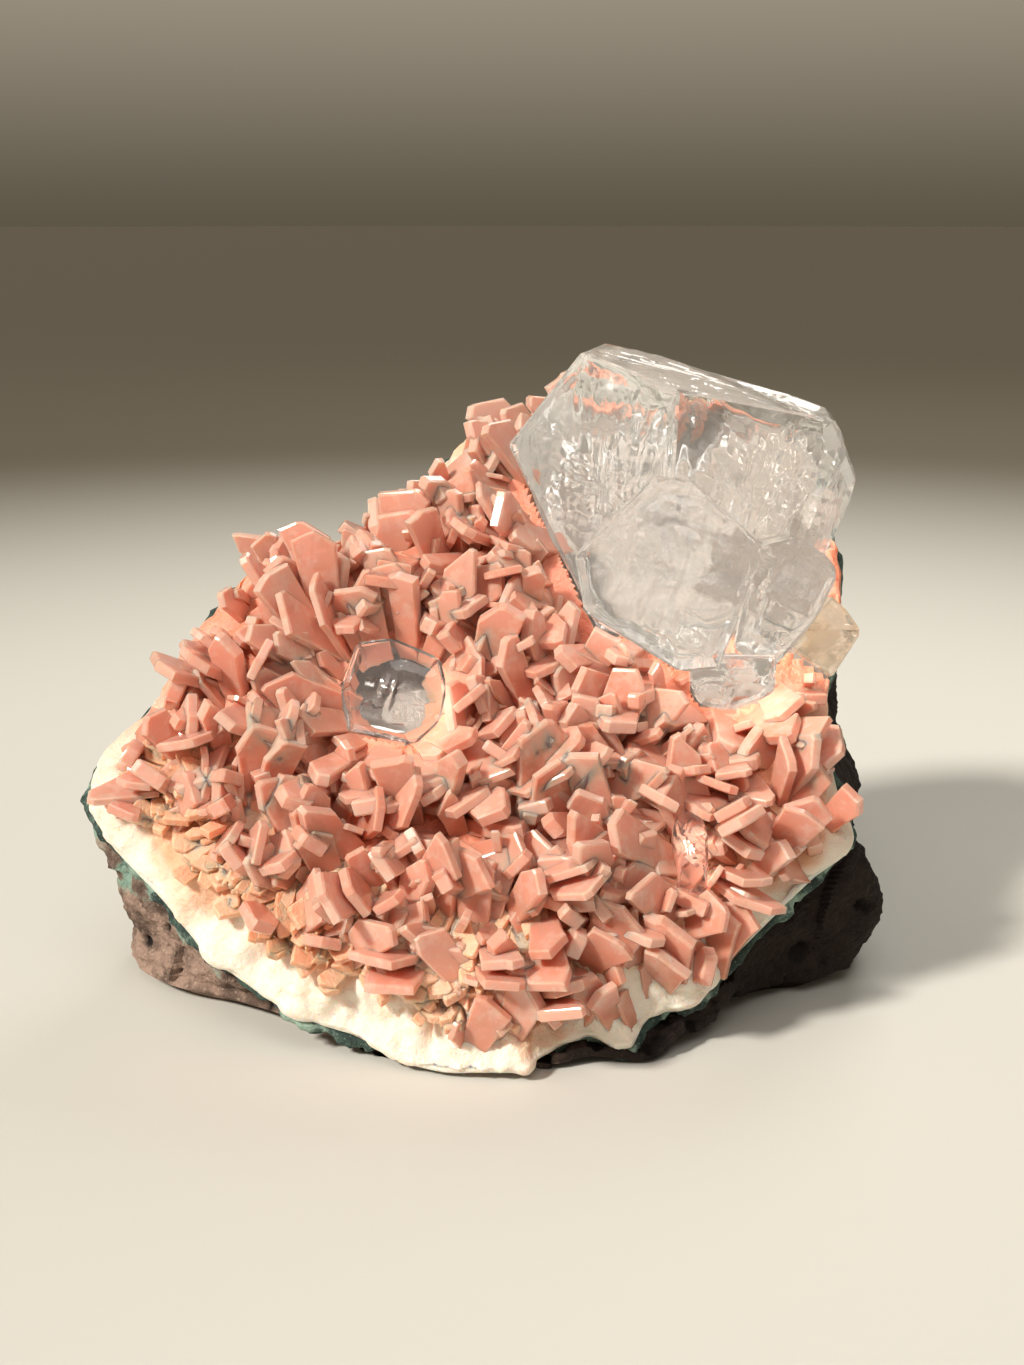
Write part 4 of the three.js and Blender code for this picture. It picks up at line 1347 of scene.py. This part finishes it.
def fleck_points(count, veils):
    """Bent flakes inside the clear crystals, on an even three-number sequence, with their masks.

    The first are wide, faint veils and the rest are small, bright cleavage flecks. Each is a saddle, its
    height the difference of two squares, with a ragged outline.
    """
    item = np.arange(1, (count + veils) * 9)
    low, high = (np.array(corner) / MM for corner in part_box("apophyllite_cluster"))
    low = np.minimum(low, np.array(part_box("apophyllite_small")[0]) / MM)
    spot = np.stack([(item * step) % 1 for step in (0.8191725134, 0.6710436067, 0.5497004779)], axis=-1)
    spot = low + (high - low) * spot
    keep = inside_any(spot, CLUSTER + (SMALL,), -0.7)
    item, spot = item[keep][:count + veils], spot[keep][:count + veils]
    wide = np.arange(len(item)) < veils
    cloud = smooth(-0.5, 0.5, fractal(spot, 6.0, 3, 101))
    size = np.where(wide, 1.6 + 3.4 * chance(item, 111), 0.10 + 0.42 * chance(item, 111) ** 3)
    turn = about_z(2 * np.pi * chance(item, 112)) @ about_x(np.pi * chance(item, 113))
    side = np.linspace(-1, 1, 6)
    a, b = np.meshgrid(side, side, indexing="ij")
    ragged = 0.65 + 0.5 * chance(np.arange(36) + 36 * item[:, None], 114).reshape(-1, 6, 6)
    saddle = 0.3 * (chance(item, 116) - 0.5)[:, None, None] * (a * a - b * b)
    local = np.stack(np.broadcast_arrays(a * ragged, 0.6 * b * ragged, saddle), axis=-1)
    world = np.einsum("nij,nabj->nabi", turn, local * size[:, None, None, None]) + spot[:, None, None]
    row, column = np.meshgrid(np.arange(5), np.arange(5), indexing="ij")
    corner = row * 6 + column
    quad = np.stack([corner, corner + 6, corner + 7, corner + 1], axis=-1).reshape(-1, 4)
    masks = np.ones((len(item), 6, 6, 4))
    fade = np.clip(1.1 - np.maximum(np.abs(a), np.abs(b)) ** 4, 0, 1)
    bright = chance(item, 115)
    strength = np.where(wide, 0.16 + 0.3 * cloud * bright, (0.3 + 0.7 * bright) * cloud)
    masks[..., 0] = strength[:, None, None] * np.where(wide[:, None, None], fade, 1)
    inside = inside_any(world, CLUSTER + (SMALL,), -0.25).reshape(len(item), -1).all(axis=1)
    world, masks = world[inside], masks[inside]
    faces = (quad[None] + 36 * np.arange(len(world))[:, None, None]).reshape(-1, 4).tolist()
    return world.reshape(-1, 3), faces, masks.reshape(-1, 4)


class SPECIMEN_OT_cluster(Operator):
    """Builds the group of large clear crystals grown into one another"""

    bl_idname = "specimen.cluster"
    bl_label = "Apophyllite cluster"

    def execute(self, context):
        settings = context.scene.specimen_apophyllite
        names = ("apophyllite", "front", "right", "low")
        objects = [crystal_object(name, crystal, settings, 1 + index)
                   for index, (name, crystal) in enumerate(zip(names, CLUSTER))]
        combine(objects[0], objects[1:], "UNION")
        material = apophyllite_material("apophyllite_clear", settings.clear, 6.0, (0.95, 0.92, 0.86), 0.90)
        finish_crystal(objects[0], ["apophyllite_cluster"], material)
        return {"FINISHED"}


class SPECIMEN_OT_single_crystals(Operator):
    """Builds the amber side crystal, the small crystal and the bead"""

    bl_idname = "specimen.single_crystals"
    bl_label = "Single apophyllites"

    def execute(self, context):
        settings = context.scene.specimen_apophyllite
        side = crystal_object("apophyllite_amber", SIDE, settings, 11)
        cutters = [crystal_object(f"cutter_{index}", crystal, settings, 1, 0.05)
                   for index, crystal in enumerate(CLUSTER)]
        combine(side, cutters, "DIFFERENCE")
        amber = apophyllite_material("apophyllite_amber", settings.amber, 90.0, (0.80, 0.66, 0.46), 0.85)
        finish_crystal(side, ["apophyllite_side"], amber)
        clear = apophyllite_material("apophyllite_small", settings.clear, 6.0, (0.95, 0.90, 0.84), 0.93)
        for name, crystal, node, seed in (
                ("apophyllite_on_blades", SMALL, "apophyllite_small", 12),
                ("apophyllite_drop", BEAD, "apophyllite_bead", 13)):
            finish_crystal(crystal_object(name, crystal, settings, seed), [node], clear)
        return {"FINISHED"}


class SPECIMEN_OT_flecks(Operator):
    """Scatters bright cleavage flecks inside the large crystals"""

    bl_idname = "specimen.flecks"
    bl_label = "Flecks"

    def execute(self, context):
        settings = context.scene.specimen_apophyllite
        points, faces, masks = fleck_points(settings.flecks, settings.veils)
        piece = make_piece("apophyllite_flecks", points, faces, [], math.pi)
        store_masks(piece.data, "veil_masks", masks)
        piece.data.materials.append(veil_material())
        return {"FINISHED"}


# Stage

def floor_material(stage):
    """Plain pale floor that darkens evenly far from the specimen: a painted pool of light round it, falling
    off to painted shade.
    """
    material, tree, shader = new_material("floor")
    place = tree.nodes.new("ShaderNodeTexCoord").outputs["Object"]
    far = add_node(tree, "ShaderNodeVectorMath", {0: place}, operation="LENGTH").outputs["Value"]
    base = mix_colour(tree, ramp(tree, far, 0.10, 0.42), colour(stage.floor_near), colour(stage.far_floor_shade))
    tree.links.new(base, shader.inputs["Base Color"])
    shader.inputs["Roughness"].default_value = 0.7
    return material


def add_light(name, place, size, power, tint, kind="AREA"):
    """Light aimed at the middle of the specimen."""
    light = bpy.data.lights.new(name, kind)
    if kind == "AREA":
        light.size = size
    light.energy = power
    light.color = tint
    made = bpy.data.objects.new(name, light)
    bpy.context.scene.collection.objects.link(made)
    direction = np.array(LIGHT_TARGET) - np.array(place)
    flat = math.hypot(direction[0], direction[1])
    made.location = place
    made.rotation_euler = (math.atan2(flat, -direction[2]), 0, math.atan2(-direction[0], direction[1]))
    return made


def surroundings(stage):
    """Plain surroundings with a lighter band a little above the height of the floor."""
    world = bpy.data.worlds.new("surroundings")
    world.use_nodes = True
    tree = world.node_tree
    place = tree.nodes.new("ShaderNodeTexCoord").outputs["Generated"]
    up = add_node(tree, "ShaderNodeSeparateXYZ", {"Vector": place}).outputs["Z"]
    tone = mix_colour(tree, ramp(tree, up, -0.02, 0.16), colour(stage.low_sky), colour(stage.high_sky))
    tone = mix_colour(tree, ramp(tree, up, 0.20, 0.60), tone, colour(stage.low_sky))
    tree.links.new(tone, tree.nodes["Background"].inputs["Color"])
    return world


class SPECIMEN_OT_stage(Operator):
    """Sets the pale floor, soft lights, plain surroundings and the camera"""

    bl_idname = "specimen.stage"
    bl_label = "Stage"

    def execute(self, context):
        stage = context.scene.specimen_stage
        turn = np.arange(96) / 96 * 2 * np.pi
        radius = np.array([0.15, 0.5, 2.0, 8.0])[:, None]
        points = np.stack([radius * np.cos(turn), radius * np.sin(turn), 0 * radius * turn], axis=-1)
        mesh = bpy.data.meshes.new("floor")
        faces = grid_faces(4, 96).tolist() + [list(range(96))]
        mesh.from_pydata(points.reshape(-1, 3).tolist(), [], faces)
        floor = bpy.data.objects.new("floor", mesh)
        context.scene.collection.objects.link(floor)
        mesh.materials.append(floor_material(stage))
        key = add_light("key", KEY_PLACE, 0.1, stage.key_power, (1.0, 0.94, 0.86), "SUN")
        key.data.angle = stage.key_softness
        add_light("fill", FILL_PLACE, 0.45, stage.fill_power, (1.0, 0.97, 0.94))
        add_light("back", BACK_PLACE, 0.3, stage.back_power, (1.0, 0.97, 0.93))
        context.scene.world = surroundings(stage)
        camera = bpy.data.cameras.new("camera")
        camera.sensor_width = SENSOR
        camera.lens = SENSOR * CAMERA_FOCAL_PIXELS / FRAME_HEIGHT_PIXELS
        camera.clip_start = 0.005
        made = bpy.data.objects.new("camera", camera)
        context.scene.collection.objects.link(made)
        made.location = (
            (CAMERA_PLACE[0] - PLAN_MIDDLE[0]) * MM,
            (CAMERA_PLACE[1] - PLAN_MIDDLE[1]) * MM,
            CAMERA_PLACE[2] * MM,
        )
        made.rotation_euler = (math.pi / 2 - CAMERA_PITCH, 0, 0)
        context.scene.camera = made
        context.scene.view_settings.view_transform = "Standard"
        return {"FINISHED"}


class SPECIMEN_PT_panel(Panel):
    """Steps that dress the specimen, in order"""

    bl_idname = "SPECIMEN_PT_panel"
    bl_label = "Apophyllite specimen"
    bl_space_type = "VIEW_3D"
    bl_region_type = "UI"
    bl_category = "Specimen"

    def draw(self, context):
        column = self.layout.column()
        for step in STEPS:
            column.operator(step.bl_idname)


STEPS = (
    SPECIMEN_OT_stage,
    SPECIMEN_OT_basalt,
    SPECIMEN_OT_celadonite,
    SPECIMEN_OT_crust,
    SPECIMEN_OT_blades,
    SPECIMEN_OT_cluster,
    SPECIMEN_OT_single_crystals,
    SPECIMEN_OT_flecks,
)
SETTINGS = {
    "specimen_rock": RockSettings,
    "specimen_stilbite": StilbiteSettings,
    "specimen_apophyllite": ApophylliteSettings,
    "specimen_stage": StageSettings,
}


def register():
    """Registers the settings, the steps and the panel."""
    for name, group in SETTINGS.items():
        bpy.utils.register_class(group)
        setattr(bpy.types.Scene, name, PointerProperty(type=group))
    for step in STEPS + (SPECIMEN_PT_panel,):
        bpy.utils.register_class(step)


def unregister():
    """Removes what register added."""
    for step in (SPECIMEN_PT_panel,) + STEPS[::-1]:
        bpy.utils.unregister_class(step)
    for name, group in SETTINGS.items():
        delattr(bpy.types.Scene, name)
        bpy.utils.unregister_class(group)


def main():
    """Builds the stage and every piece in order."""
    register()
    bpy.ops.specimen.stage()
    bpy.ops.specimen.basalt()
    bpy.ops.specimen.celadonite()
    bpy.ops.specimen.crust()
    bpy.ops.specimen.blades()
    bpy.ops.specimen.cluster()
    bpy.ops.specimen.single_crystals()
    bpy.ops.specimen.flecks()


if __name__ == "__main__":
    main()
